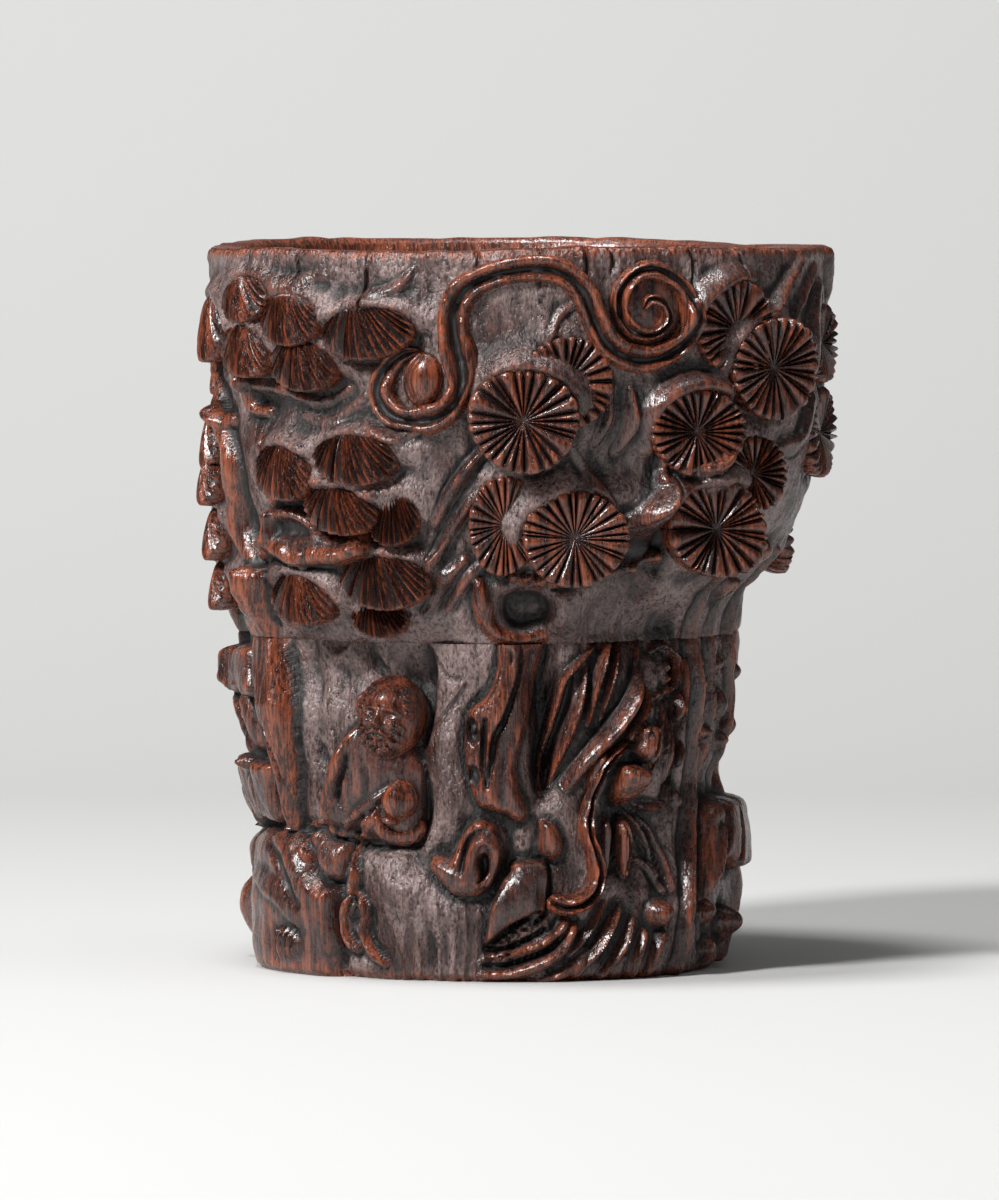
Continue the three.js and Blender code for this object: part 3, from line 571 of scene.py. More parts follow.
# The ground is drawn up behind each cluster, as a smooth grey crescent, and cut away under it
before_clusters = upper.rise.copy()
for angle, height, wide, tall, proud, turn in shell_places:
    upper.crescent(angle, height, wide, tall, 0.9 * proud - 0.7, heading=0, opening=95, width=2, turn=turn)
    upper.crescent(angle, height, wide, tall, -0.8, heading=180, opening=100, width=1.1, turn=turn)
for angle, height, wide, tall, proud, yaw, *_ in wheel_places:
    side = -45 if yaw < -2 else 10
    upper.crescent(angle, height, wide, tall, 0.85 * proud - 0.2, heading=side, opening=95, width=2.5)
    upper.crescent(angle, height, wide, tall, -1, heading=side + 180, opening=110, width=1.3)

# The lit lip of the canopy to the right of the middle pair, and the dark cliff under it
upper.ridge([(19.5, 63.6, 0.9, 0.8), (22.5, 64.6, 1.3, 1.4), (26.5, 65.8, 1.6, 2.4), (30, 68.2, 1.6, 2.6),
    (31.2, 71.4, 1.4, 1.6)], crown=1.4, cove=0, lean=0.4)
upper.groove([(21.5, 60.4, 2.2, -1.2), (27, 61.6, 2.6, -2.2), (32.5, 64, 2.6, -2.4),
    (35.5, 68.5, 1.8, -1.6), (35, 72, 1.2, -0.8)], crown=1.6, fall=1)
upper.slab([(17, 58), (24, 60.5), (32, 58.5), (37, 55), (48, 54), (52, 49), (40, 47), (20, 47), (15, 51)],
    -1.2, 3.4, cove=0)
upper.lump((33, 60.2, 1.5, 1.3, 1.6), (28.4, 58.4, 1, 0.8, 0.8), (63, 55, 2.4, 1.8, 1.8),
    (70, 60, 2.6, 2, 1.6))

# Long strokes of the gouge in the ground, and the edges of the clouds
upper.ridge(
    [(-6.5, 75, 0.9, 0.7), (-11.3, 70.6, 1.2, 1), (-16, 65, 0.9, 0.6)],
    [(-7, 69.5, 0.8, 0.7), (-12.2, 64.6, 1.2, 1.1), (-17, 60, 0.8, 0.6)],
    [(-3.5, 78, 0.8, 0.6), (-8.5, 74, 1, 0.9), (-13.5, 69.5, 0.8, 0.4)],
    [(-10, 60, 0.9, 0.8), (-14, 57, 1.3, 1.1), (-19, 52.5, 0.9, 0.6)],
    [(-4.5, 60.5, 0.8, 0.7), (-9, 57.5, 1.2, 1), (-14, 53, 0.9, 0.6)],
    [(-13, 63, 0.6, 0.6), (-16.5, 59.5, 0.8, 0.9), (-20.5, 56, 0.6, 0.4)],
    [(-18, 79, 1, 0.6), (-24, 77, 1.3, 0.8), (-30, 79.5, 0.9, 0.4)],
    [(-46, 80.5, 0.9, 0.5), (-38, 80, 1.2, 0.8), (-30, 83.5, 0.9, 0.6)],
    [(-50, 84.5, 0.8, 0.5), (-42, 82.4, 1, 0.7), (-34, 84.5, 0.8, 0.5)],
    [(12, 76, 0.8, 0.5), (17, 71, 1.1, 0.8), (21, 67.5, 0.8, 0.4)],
    [(13.5, 97, 0.6, 0.5), (8, 95, 0.8, 0.7), (5.5, 90, 0.6, 0.4)],
    [(-20, 101, 0.8, 0.5), (-23, 98.5, 1.1, 0.9), (-29, 97.5, 0.7, 0.4)],
    [(22.4, 84, 1, 0.9), (23.2, 79, 1.2, 1.2), (21, 75.5, 0.9, 0.6)],
    [(18.4, 85, 0.8, 0.8), (18.3, 80, 1, 1.1), (16.6, 76.5, 0.8, 0.5)],
    [(62, 102, 0.9, 1.2), (57, 98.5, 1.2, 1.6), (53, 95.5, 1.2, 1.4), (49, 93, 0.9, 0.8)],
    [(70, 101, 0.9, 0.8), (64, 97, 1.2, 1.2), (60, 93, 0.9, 0.8)],
    [(82, 103, 1.8, 1.2), (84, 97, 1.8, 1.2), (81, 95, 1.4, 0.8)],
    crown=1.4, fall=1, cove=0.12, lean=-0.35, worn=0.15,
)
upper.ridge(
    [(27, 75.4, 1.2, 0.8), (27.5, 81.3, 1.8, 1.6), (34.2, 84.6, 1.9, 1.8), (42, 83, 1.4, 0.8)],
    [(33.6, 91, 1.2, 0.8), (35, 96.3, 1.9, 1.6), (41.7, 99.6, 1.9, 1.3), (48, 99.4, 1.2, 0.6)],
    [(70, 82, 1.6, 0.8), (66, 77, 1.8, 1.4), (60, 76, 1.4, 1)],
    [(72, 98, 1.6, 0.8), (68, 92, 1.8, 1.4), (70, 86, 1.6, 1)],
    [(-40, 100.5, 1.2, 0.5), (-50, 99.6, 1.4, 0.7), (-58, 100.2, 1.2, 0.5)],
    [(-70, 87.6, 1.2, 0.8), (-64, 84.4, 1.4, 1.2), (-54, 83.8, 1.4, 1.2), (-46, 82.4, 1, 0.6)],
    crown=1.6, cove=0.1, lean=0.35, worn=0.1,
)

# The knot hole above the seam, with its thick worn lip, and the small bosses under the middle pair
upper.ridge([(-7.2, 57, 0.9, 1.2), (-6.4, 54, 1.5, 2), (-5.4, 51, 1.4, 1.8), (-2.4, 49.2, 1.2, 1.6),
    (2.4, 48.4, 1.1, 1.2), (8.2, 49, 1.1, 0.8)], worn=0.9, grain=0.2)
upper.slab([(-3.6, 55.4), (0.4, 56.6), (7.6, 56.2), (11.2, 53.8), (9.8, 50.8), (4, 49.4), (-1.4, 50.2),
    (-3.8, 52.4)], -3.4, 1.8, cove=0)
upper.swell((13, 52, 2.4, 4, 1.2))
upper.lump((-2.5, 58.4, 1, 1, 1.6, 20), (0.4, 57.6, 1.1, 0.9, 1.6, 20), (3.4, 57.4, 1.2, 0.9, 1.6, 20),
    (6.6, 56.9, 1.3, 1, 1.6, 20), (10, 56.8, 1.2, 0.8, 1.6, 20), (13.2, 57.2, 1.2, 0.7, 1.6, 20), worn=0.7)

# Drying checks at the rim, each by its angle and lower end, a shaving lost to the left of the first, and
# the tool marks
checks = (
    (-29.9, 94), (-47, 98), (-8, 100.5), (4, 99), (12.5, 97.5), (17.5, 100.5), (33.5, 98), (44.5, 97.5),
    (98, 94), (150, 97), (-120, 95),
)
for angle, low in checks:
    halfway = (angle + 0.3, (low + cup_height) / 2, 0.28, -0.7)
    upper.groove([(angle, low, 0.15, -0.1), halfway, (angle, cup_height, 0.35, -1.1)])
lost = np.clip((checks[0][0] - upper.angle) / 0.8, 0, 1) * np.clip((upper.angle + 62) / 14, 0, 1)
upper.rise -= 0.8 * lost * np.clip((upper.height - 94) / 4, 0, 1)
near_rim = np.clip((upper.height - 99.5) / 2.5, 0, 1)
upper.rise -= 0.35 * near_rim * mottle(wall_point(upper.angle, upper.height), np.array([2.4, 2.4, 1.6]))
upper.worn = np.maximum(upper.worn, 0.55 * np.clip((upper.height - 101.6) / 1.6, 0, 1))
upper.chisel(0.34, across=1.6, along=5)
upper.chisel(0.2, across=0.6, along=1.4)
seam_gap, seam_half_width = 0.08, 0.15
upper.rise -= seam_gap * bell((upper.height - seam_height) / seam_half_width)


def block_wall(name, skin, bore_radii, bore_heights, lip_wave=0.0, lip_round=0.0):
    """Closes a carved skin with its lip on top and its bore inside."""
    outside = wall_point(skin.angle, skin.height, skin.rise)
    outside[..., 2] += lip_wave * np.clip((skin.height - skin.height.max() + 6) / 6, 0, 1)
    turn = np.radians(skin.angle[0])
    across, along = np.outer(bore_radii, np.sin(turn)), np.outer(bore_radii, -np.cos(turn))
    bore = np.stack([across, along, np.outer(bore_heights, np.ones_like(turn))], -1)
    edge_out, edge_in = outside[-1].copy(), bore[-1].copy()
    edge_in[:, 2] = edge_out[:, 2]
    for back in range(1, 5):
        away = outside[-back, :, :2] - edge_in[:, :2]
        away /= np.linalg.norm(away, axis=1, keepdims=True)
        outside[-back, :, :2] -= away * lip_round * (1 - (back - 1) / 4) ** 2
    outside[-1, :, 2] -= lip_round * 0.35
    lip = []
    for share, drop in ((0.14, 0.05), (0.5, 0), (0.86, 0.06)):
        lip.append(edge_out + (edge_in - edge_out) * share - (0, 0, lip_round * drop))
    loops = np.concatenate([outside, np.array(lip), bore[::-1]])
    wall = closed_ring(name, loops)

    # The joint's own sharp corner is neither worn nor painted with shade: those rows take the marks of the
    # row beside them
    rows, columns = skin.height.shape
    row = np.arange(loops.shape[0])
    joint = 0 if skin is upper else rows - 1
    beside = np.where(abs(row - joint) < 4, abs(joint - 4), row)
    quiet = (beside[:, None] * columns + np.arange(columns)).ravel()
    inner = np.zeros(loops.size // 3 - skin.ground.size)
    ground, worn = (np.concatenate([part.ravel(), inner]) for part in (skin.ground, skin.worn))
    mark_wear_and_shade(wall, ground=ground, worn=worn, quiet=quiet)
    wall.data.materials.append(carved_wood)
    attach(wall, "root")
    return wall


rim_turn = np.radians(upper.angle[0])
rim_wave = 0.35 * np.sin(2 * rim_turn + 0.7) + 0.2 * np.sin(5 * rim_turn)
rim_wave += 0.5 * (mottle(wall_point(upper.angle[0], cup_height), 3.5) - 0.5)
bore_radii = np.array([29.8, 29.8, 26.8, 28.0, 30.4, 33.0, 35.8, 37.6, 38.3])
bore_heights = np.array([seam_height, 53.3, 53.3, 58, 66, 76, 88, 98, 103.2])
upper_wall = block_wall("upper_wall", upper, bore_radii, bore_heights, rim_wave, 0.6)
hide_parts("upper_block")


# The needle clusters. Each is a boss of the block itself, left standing on the ground and undercut,
# whose face is cut into ridges from one point: near the edge seen from above, in the middle seen full on.
class Bosses:
    """Closed shapes gathered into one mesh, each given as stations along it by points round it."""

    weld = 0.002

    def __init__(self):
        self.points, self.faces, self.crests, self.count = [], [], [], 0

    def add(self, loops, crest):
        rows, columns = loops.shape[:2]
        index = np.arange(rows * columns).reshape(rows, columns) + self.count
        right = np.roll(index, -1, 1)
        faces = np.stack([index[:-1], right[:-1], right[1:], index[1:]], -1)
        self.points.append(loops.reshape(-1, 3))
        self.faces.append(faces.reshape(-1, 4))
        self.crests.append(np.broadcast_to(crest, (rows, columns)).ravel())
        self.count += rows * columns

    def piece(self, name, slot, worn):
        piece = mesh_piece(name, np.concatenate(self.points), np.concatenate(self.faces))
        mark(piece, "crest", np.concatenate(self.crests))
        soup = bmesh.new()
        soup.from_mesh(piece.data)
        bmesh.ops.remove_doubles(soup, verts=soup.verts, dist=self.weld * MM)
        bmesh.ops.dissolve_degenerate(soup, edges=soup.edges, dist=self.weld / 2 * MM)
        bmesh.ops.recalc_face_normals(soup, faces=soup.faces)
        soup.to_mesh(piece.data)
        soup.free()
        shade_smooth(piece.data)
        mark_wear_and_shade(piece, passes=10, worn=worn)
        piece.data.materials.append(carved_wood)
        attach(piece, "root")
        return piece


def seated(points, angle, height, proud, turn=0.0, tip=0.0, yaw=0.0):
    """Moves points from a spot's own frame, across, up and outwards, to that spot on the trunk."""
    x, y, z = np.moveaxis(np.asarray(points, float), -1, 0)
    for degrees, (a, b) in ((turn, "xy"), (tip, "yz"), (yaw, "zx")):
        c, s = math.cos(math.radians(degrees)), math.sin(math.radians(degrees))
        now = {"x": x, "y": y, "z": z}
        now[a], now[b] = now[a] * c - now[b] * s, now[a] * s + now[b] * c
        x, y, z = now["x"], now["y"], now["z"]
    spot = wall_point(np.array(float(angle)), float(height), proud)
    c, s = math.cos(math.radians(angle)), math.sin(math.radians(angle))
    return spot + np.stack([x * c + z * s, x * s - z * c, y], -1)


def level(skin, angle, height, reach=3.0, rise=None):
    """How far the skin stands above the bare trunk near a spot."""
    across, up = skin.local(angle, height)
    near = np.hypot(across, up) < reach
    return float((skin.rise if rise is None else rise)[near].mean())


def rib_edges(count, uneven):
    edges = np.arange(count + 1) / count
    edges[1:-1] += chance.normal(0, uneven / count, count - 1)
    return edges


across_rib = np.array([0.0, 0.1, 0.28, 0.5, 0.72, 0.9])


def ribbed(count, uneven, crown):
    """Shares along a fan, and its surface's height there: round ribs, or hollows if crown is negative."""
    edges = rib_edges(count, uneven)
    shares, heights = [], []
    for k in range(count):
        shares.extend(edges[k] + (edges[k + 1] - edges[k]) * across_rib)
        across = np.abs(2 * across_rib - 1)
        rib = across ** -crown if crown < 0 else 1 - across**crown
        heights.extend(rib * chance.uniform(0.8, 1.15))
    return np.array(shares), np.array(heights)


def needle_shell(bosses, seat, angle, height, half_wide, half_tall, proud, turn, ribs=16, tip=-4):
    """A cluster seen from above: a scale that rises from the ground to a crisp, scalloped lower edge, ribbed
    downwards from a point beyond its top edge."""
    apex = np.array([-0.35, 1.75])
    far = np.hypot(*apex)
    opening = math.asin(1 / far)
    shares, rib = ribbed(ribs, 0.2, -1.3)
    shares, rib = np.append(shares, 1.0), np.append(rib, rib[0])
    heading = math.atan2(-apex[1], -apex[0]) + opening * (2 * shares - 1) * 0.9999
    ray = np.stack([np.cos(heading), np.sin(heading)], -1)
    nearest = -(ray @ apex)
    half_chord = np.sqrt(np.maximum(1 - far**2 + nearest**2, 0))
    down = np.array([0, 0.02, 0.05, 0.1, 0.18, 0.28, 0.4, 0.52, 0.64, 0.75, 0.85, 0.93, 0.98, 1.0])
    length = (nearest - half_chord)[:, None] + 2 * half_chord[:, None] * down
    x, y = apex[:, None, None] + ray.T[:, :, None] * length
    depth = np.clip(down / 0.12, 0, 1) * (0.7 + 0.3 * down) * np.clip(half_chord * 2.5, 0, 1)[:, None]
    scallop = 1 + 0.035 * (rib[:, None] - 0.45) * down**3
    bow = 1 - 0.5 * x**2
    dome = proud * (0.45 + 0.65 * np.sqrt(down) - 0.22 * down**3) * bow
    top = dome + 1.1 * (rib[:, None] - 0.6) * depth * (1 - 0.45 * np.clip((down - 0.9) / 0.1, 0, 1))
    top[:, -1] -= 0.15
    face = np.stack([x * half_wide * scallop, y * half_tall * scallop, top], -1)
    low, high = face[:, -1], face[:, 0]
    walls = []
    for edge, order in ((low, 1), (high, -1)):
        steps = []
        for keep, drop in ((1.0, 0.3), (0.95, 0.6), (0.86, 1.0)):
            point = edge * (keep, keep, 1)
            point[:, 2] = edge[:, 2] * (1 - drop) - 2.2 * drop
            steps.append(point)
        walls.append(steps[::order])
    ring = np.concatenate([face, np.stack(walls[0], 1), np.stack(walls[1], 1)], 1)
    crest = np.zeros(ring.shape[:2])
    # The crest mark: ribs worn orange, grooves between them painted dark as shade
    crest[:, : len(down)] = (rib[:, None] - 0.45) * np.minimum(depth * 1.4, 1)
    bosses.add(seated(ring, angle, height, seat, turn, tip), crest)


def needle_wheel(bosses, seat, angle, height, half_wide, half_tall, proud, yaw, tip, dish, crown, ribs=27):
    """A cluster seen full on: a thick disc, ridged outwards from its middle, with a scalloped rim."""
    shares, rib = ribbed(ribs, 0.3, crown)
    shares, rib = np.append(shares, 1.0), np.append(rib, rib[0])
    turn = shares * 2 * math.pi
    wobble = 1 + 0.03 * np.sin(2 * turn + chance.uniform(0, 6))
    wobble = wobble + 0.025 * np.sin(3 * turn + chance.uniform(0, 6))
    out = np.array([0.0, 0.05, 0.12, 0.21, 0.32, 0.44, 0.57, 0.7, 0.82, 0.91, 0.965, 0.99])
    reach = wobble[:, None] * out * (1 + 0.04 * (rib[:, None] - 0.5) * out**4)
    cut = np.clip((out - 0.04) / 0.3, 0, 1) * (0.6 + 0.55 * out)
    edge = np.clip((out - 0.9) / 0.09, 0, 1)
    top = proud - dish * (1 - out) ** 1.4 * 2
    top = top + 1.1 * (rib[:, None] - 0.7) * cut * (1 - 0.5 * edge) - 0.3 * edge**2
    rim = reach[:, -1:]
    sides = ((1.012, 0.22), (1.0, 0.5), (0.95, 0.8), (0.88, 1.05))
    wall_reach = np.concatenate([rim * share for share, _ in sides] + [rim * 0], 1)
    rim_top = top[:, -1]
    wall_top = np.stack([rim_top * (1 - drop) - 2 * drop for _, drop in sides] + [rim_top * 0 - 2.1], 1)
    reach, top = np.concatenate([reach, wall_reach], 1), np.concatenate([top, wall_top], 1)
    across, up = reach * np.sin(turn)[:, None], reach * np.cos(turn)[:, None]
    ring = np.stack([half_wide * across, half_tall * up, top], -1)
    crest = np.zeros(ring.shape[:2])
    # The crest mark: ribs worn orange, grooves between them painted dark as shade
    crest[:, : len(out)] = (rib[:, None] - 0.75) * cut
    bosses.add(seated(ring, angle, height, seat, 0, tip, yaw), crest)


shells = Bosses()
for place in shell_places:
    needle_shell(shells, level(upper, *place[:2], rise=before_clusters), *place)
shells.piece("needle_shells", "upper_wood", worn=0.32)
wheels = Bosses()
for place in wheel_places:
    needle_wheel(wheels, level(upper, *place[:2], rise=before_clusters), *place)
wheels.piece("needle_wheels", "upper_wood", worn=0.3)


# The vine. A strap of the same wood that curls round a knob, climbs, arches below the rim and ends in a
# spiral: a thick outer ridge and a thin inner one, with a groove between.
def strap(bosses, skin, way, section, sink=1.5):
    """Carries a cross-section, in shares of a half width and a rise, along rows as a ridge has. Below
    nought the section is sunk into the skin."""
    rows = smooth_way(way, 0.45)
    spots = wall_point(rows[:, 0], rows[:, 1], 0.0)
    rows[:, 2] *= 0.8 + 0.4 * mottle(spots, 2.8)
    rows[:, 3] *= 0.8 + 0.4 * mottle(spots + 9.1, 2.0)
    turn = np.radians(rows[:, 0])
    out = np.stack([np.sin(turn), -np.cos(turn), 0 * turn], -1)
    side = np.cross(np.gradient(spots, axis=0), out)
    side /= np.linalg.norm(side, axis=1, keepdims=True)
    seat = np.array([level(skin, a, h, 1.2) for a, h in rows[:, :2]])
    seat = np.convolve(np.pad(seat, 6, mode="edge"), np.ones(13) / 13, "valid")
    sideways, upwards = np.array(section).T
    showing = upwards > 0
    from_start = np.arange(len(rows))
    taper = np.sqrt(np.clip(np.minimum(from_start, from_start[::-1]) / 3, 0, 1))
    wide = (rows[:, 2] * np.maximum(taper, 0.02))[:, None, None]
    tall = np.where(showing, upwards * (rows[:, 3] * taper)[:, None], upwards * sink)
    loops = spots[:, None] + side[:, None] * wide * sideways[:, None]
    loops = loops + out[:, None] * (seat[:, None] + tall)[..., None]
    loops += out[:, None] * (0.6 * (mottle(loops, 1.3) - 0.5) * showing)[..., None]
    cap = loops.mean(1, keepdims=True).repeat(len(upwards), 1)
    # The crest mark: the top worn orange, the low flanks painted darker as shade
    crest = np.where(showing, (upwards - 0.6) * 0.6, 0)
    bosses.add(np.concatenate([cap[:1], loops, cap[-1:]]), crest)


vine_section = (
    (-0.9, -1), (-1, 0), (-1, 0.35), (-0.93, 0.72), (-0.78, 0.95), (-0.6, 1), (-0.42, 0.92), (-0.25, 0.66),
    (-0.1, 0.4), (0.05, 0.3), (0.2, 0.36), (0.34, 0.56), (0.46, 0.72), (0.58, 0.76), (0.72, 0.68),
    (0.86, 0.42), (0.96, 0.1), (0.95, -0.3), (0.85, -1),
)
vine = (
    (-18.6, 89.8, 0.7, 1), (-22.2, 89.2, 1.3, 1.5), (-25.2, 87.2, 1.7, 1.8), (-26.6, 83.8, 2, 2),
    (-24.3, 81, 2.1, 2.2), (-19.8, 80, 2, 2.3), (-15.3, 80.4, 2.1, 2.3), (-11.9, 82.2, 2.1, 2.3),
    (-10.2, 85, 2.2, 2.4), (-10.6, 88.3, 2.4, 2.4), (-11.7, 91.5, 2.5, 2.4), (-12, 95, 2.3, 2.3),
    (-10.4, 98, 2.1, 2.2), (-7, 99.8, 1.9, 2.1), (-2.2, 101, 1.9, 2), (3.4, 101.4, 1.9, 2),
    (8.4, 100.6, 1.9, 2.1), (12, 97.8, 2, 2.3), (14, 94.2, 2.1, 2.3), (16.4, 91, 2.1, 2.3),
    (20.3, 89, 2, 2.2), (25.3, 88.6, 1.9, 2.2), (30.2, 90.1, 1.7, 2.2), (32.7, 93.1, 1.6, 2.2),
    (32.4, 96.7, 1.5, 2.1), (29.5, 99.7, 1.4, 2), (25.2, 101.2, 1.3, 1.9), (21.2, 100.3, 1.3, 1.9),
    (18.9, 97.6, 1.2, 1.9), (19.3, 94.6, 1.2, 1.9), (21.9, 92.4, 1.1, 1.9), (25.4, 92.1, 1, 1.9),
    (27.8, 94.1, 0.95, 1.9), (26.9, 96.4, 0.85, 1.8), (24.3, 97, 0.75, 1.6), (23.2, 95.5, 0.6, 1.4),
)
creeper = Bosses()
strap(creeper, upper, vine, vine_section)
round_section = (
    (-0.85, -1), (-1, 0), (-0.96, 0.4), (-0.8, 0.74), (-0.5, 0.94), (-0.15, 1), (0.2, 0.98), (0.55, 0.86),
    (0.82, 0.6), (0.97, 0.25), (1, -0.1), (0.85, -1),
)
ribbon_section = (
    (-0.85, -1), (-1, 0), (-0.98, 0.5), (-0.86, 0.8), (-0.66, 0.92), (-0.48, 0.84), (-0.32, 0.6),
    (-0.18, 0.5), (-0.04, 0.62), (0.12, 0.88), (0.32, 1), (0.56, 0.94), (0.8, 0.7), (0.95, 0.36), (1, 0),
    (0.85, -1),
)


# The lower block's wall. The trunk's foot: posts of old bark, roots and rocks round a hollow in which a
# seated elder is carved, a ribbon of cloth falling to the right, and a cut stump. Same block, same wood.

# The hollow behind the figure, a valley beside the post that rises to the right, and the coves under the
# clusters, above the head and to its right, darkened with painted shadow; the ground swells again beside the
# pillar
lower.slab([(-53, 47), (-51.5, 39), (-50.8, 34), (-51, 30.5), (-49, 28.6), (-46, 31), (-42, 34.5),
    (-38, 36.5), (-33, 40), (-33, 44), (-38, 46.5), (-46, 47.5)], -1.3, 4.5, cove=0)
for skin in (upper, lower):
    skin.swell((-55, 47, 1.8, 5, -1.3), (-53, 40, 2, 4, -1.6), (-51.6, 33.5, 2.2, 4, -1.5))
    skin.slab([(-50.8, 52), (-43, 53), (-42, 48), (-45.4, 45.8), (-49.1, 45.8), (-51.3, 48)], -2, 1.6,
        cove=0, shade_depth=0.8)
    skin.slab([(-43.5, 50.5), (-38.5, 51), (-24, 50.5), (-18.5, 46), (-17.8, 41), (-18.2, 36),
        (-20.4, 32.8), (-23.4, 34), (-24, 38), (-28, 40.5), (-33, 40.5), (-37, 42), (-41, 44.6)], -2.6, 1.8,
        cove=0, shade_depth=0.9)
    skin.swell((-14.6, 45, 2.6, 7, 1.2), (-15.2, 33, 2.8, 8, 1.1), (-14.6, 26, 3.4, 4, 0.6),
        (8.6, 42, 2.4, 8, -2.6), (8.4, 33, 2.2, 6, -2.2), (30, 50, 4, 3, -1.6))
# A shallow dip right of the post, darkened with painted shade
lower.slab([(-53.6, 34), (-50.4, 32.4), (-48.4, 29.4), (-48.6, 25), (-50.2, 22.4), (-53.4, 23.4),
    (-54.6, 27), (-54.4, 31)], -0.8, 1, cove=0, shade_depth=0.7)
lower.crescent(-26, 24.4, 3.4, 4.4, -1.4, heading=90, opening=90, width=1.8)
lower.groove(
    [(-20, 46.8, 0.3, -0.4), (-16, 43.6, 0.4, -0.5), (-11.6, 43, 0.3, -0.3)],
    [(-19, 36, 0.4, -0.4), (-15, 38.4, 0.5, -0.5), (-10.5, 42, 0.4, -0.3)],
    [(-48.5, 36.5, 0.3, -0.4), (-47, 33, 0.3, -0.5), (-47.6, 31.4, 0.3, -0.3)],
    [(-68.5, 40.4, 0.3, -0.5), (-65.6, 36.9, 0.35, -1), (-63.4, 34.4, 0.4, -1.2), (-61.6, 31.4, 0.4, -1.3),
     (-60.4, 28.4, 0.35, -1.1), (-60, 25.6, 0.3, -0.8), (-60.2, 23.4, 0.25, -0.4)],
)
for skin in (upper, lower):
    skin.swell((-61.5, 46, 0.8, 6, 0.5))

# The broken stubs and blocks at the left, with their bright upper faces
lower.slab([(-94, 45), (-90, 46.4), (-84, 46), (-78, 46.8), (-71.5, 46.4), (-70, 43), (-69, 40),
    (-74, 39.2), (-79, 40.4), (-86, 39.2), (-92, 41.4)], 2.6, 0.8, worn=0.2, grain=0.5)
lower.ridge([(-80, 39.6, 1.6, 1), (-77.6, 35.7, 1.8, 1.4), (-76.6, 32, 1.8, 1.3), (-78, 29.6, 1.6, 0.8)],
    crown=2.2, worn=0.5)
lower.slab([(-100, 28.4), (-93, 30.6), (-84, 29.6), (-76, 30.6), (-70, 30), (-65.5, 29.8), (-65, 27.3),
    (-65, 21.6), (-72, 21), (-80, 22), (-88, 19.8), (-97, 20.2), (-101, 25.4)], 3.4, 1, worn=0.3, grain=0.6)

# Cracks that break the blocks up
lower.groove(
    [(-84.5, 46.4, 0.3, -0.7), (-83.6, 43, 0.4, -1.1), (-84.8, 39.6, 0.3, -0.7)],
    [(-86, 30, 0.4, -0.9), (-84.4, 26, 0.5, -1.4), (-86.4, 21.2, 0.4, -0.9)],
    [(-75, 30.2, 0.25, -0.4), (-74.4, 26, 0.35, -0.8), (-75.4, 22, 0.25, -0.4)],
)

# The rock at the foot on the left, its facets, and the small ribbed scale cut on it
lower.slab([(-134, 20.4), (-100, 20.2), (-87, 20.2), (-70, 20.9), (-61.5, 20.9), (-56.7, 19.2), (-54.9, 18),
    (-52.1, 15.6), (-48.1, 13.5), (-43.9, 12.8), (-43.3, 8.8), (-42.6, 4.7), (-44, 1), (-44, -3),
    (-134, -3)], 2.4, 2.6, cove=0.6, worn=0.62)
lower.groove(
    [(-86, 20.6, 0.5, -0.9), (-88.4, 14, 0.8, -1.6), (-84.6, 7, 0.7, -1.4), (-87, -1, 0.5, -0.9)],
    [(-110, 20.4, 0.5, -0.9), (-107, 14, 0.8, -1.6), (-111, 6, 0.8, -1.5), (-108, -1, 0.5, -0.9)],
    [(-87.5, 15.4, 0.3, -0.5), (-95, 12.6, 0.6, -1.1), (-102, 13.6, 0.6, -1.1), (-107.4, 12.6, 0.3, -0.5)],
    crown=1.4,
)
lower.swell((-96, 17, 4, 2.4, 0.8), (-98, 5, 4.5, 4, 0.3), (-118, 14, 4, 5, 0.8), (-76, 4, 4, 3, 0.7),
    (-74, 17, 4, 2.4, 0.6))
lower.slab([(-56.9, 19), (-54.9, 18), (-52.2, 15.4), (-55.4, 14.1), (-58.2, 14.6), (-58.1, 17.3)], 0.45,
    0.4, cove=0.1, worn=0)
lower.slab([(-47.6, 13.2), (-44.1, 12.8), (-43.4, 8.8), (-42.8, 3.5), (-47.7, 3.5), (-48, 7.7),
    (-46.9, 9.8)], 0.5, 0.7, cove=0.2, worn=0)
lower.ridge([(-80, 13.4, 1.4, 0.4), (-72, 12, 2, 0.7), (-64, 10.4, 2, 0.7), (-56.4, 7.4, 1.4, 0.4)],
    crown=1.1, cove=0.1, lean=0.5, worn=0.3)
lower.groove([(-70, 18.6, 0.8, -0.4), (-64, 16.4, 1.2, -0.8), (-59, 12.6, 1.1, -0.8), (-54, 10, 0.8, -0.4)],
    crown=1.4, fall=1.2)
lower.lump((-60, 4.2, 3.6, 2.6, 1), crown=2.6, cove=0.25, worn=0.55)
for angle in (-64.6, -63, -61.4, -59.8, -58.2, -56.6):
    lower.groove([(angle - 0.4, 2, 0.2, -0.5), (angle, 4.2, 0.28, -0.9), (angle + 0.2, 6.4, 0.2, -0.4)])
lower.slab([(-51, 21.2), (-52.4, 17.6), (-51.6, 15.2), (-48.1, 13.8), (-44.9, 13.3), (-42.9, 14.1),
    (-41.6, 15.6), (-40.8, 17.8), (-40.6, 19.9), (-45.2, 20.6)], 1.5, 2.2, cove=0.7, worn=0.42)
lower.slab([(-58.2, 19.8), (-53.6, 20.4), (-52.9, 17.4), (-53.4, 15.8), (-56, 17.2)], 0.9, 0.8, cove=0.3,
    worn=0.6)

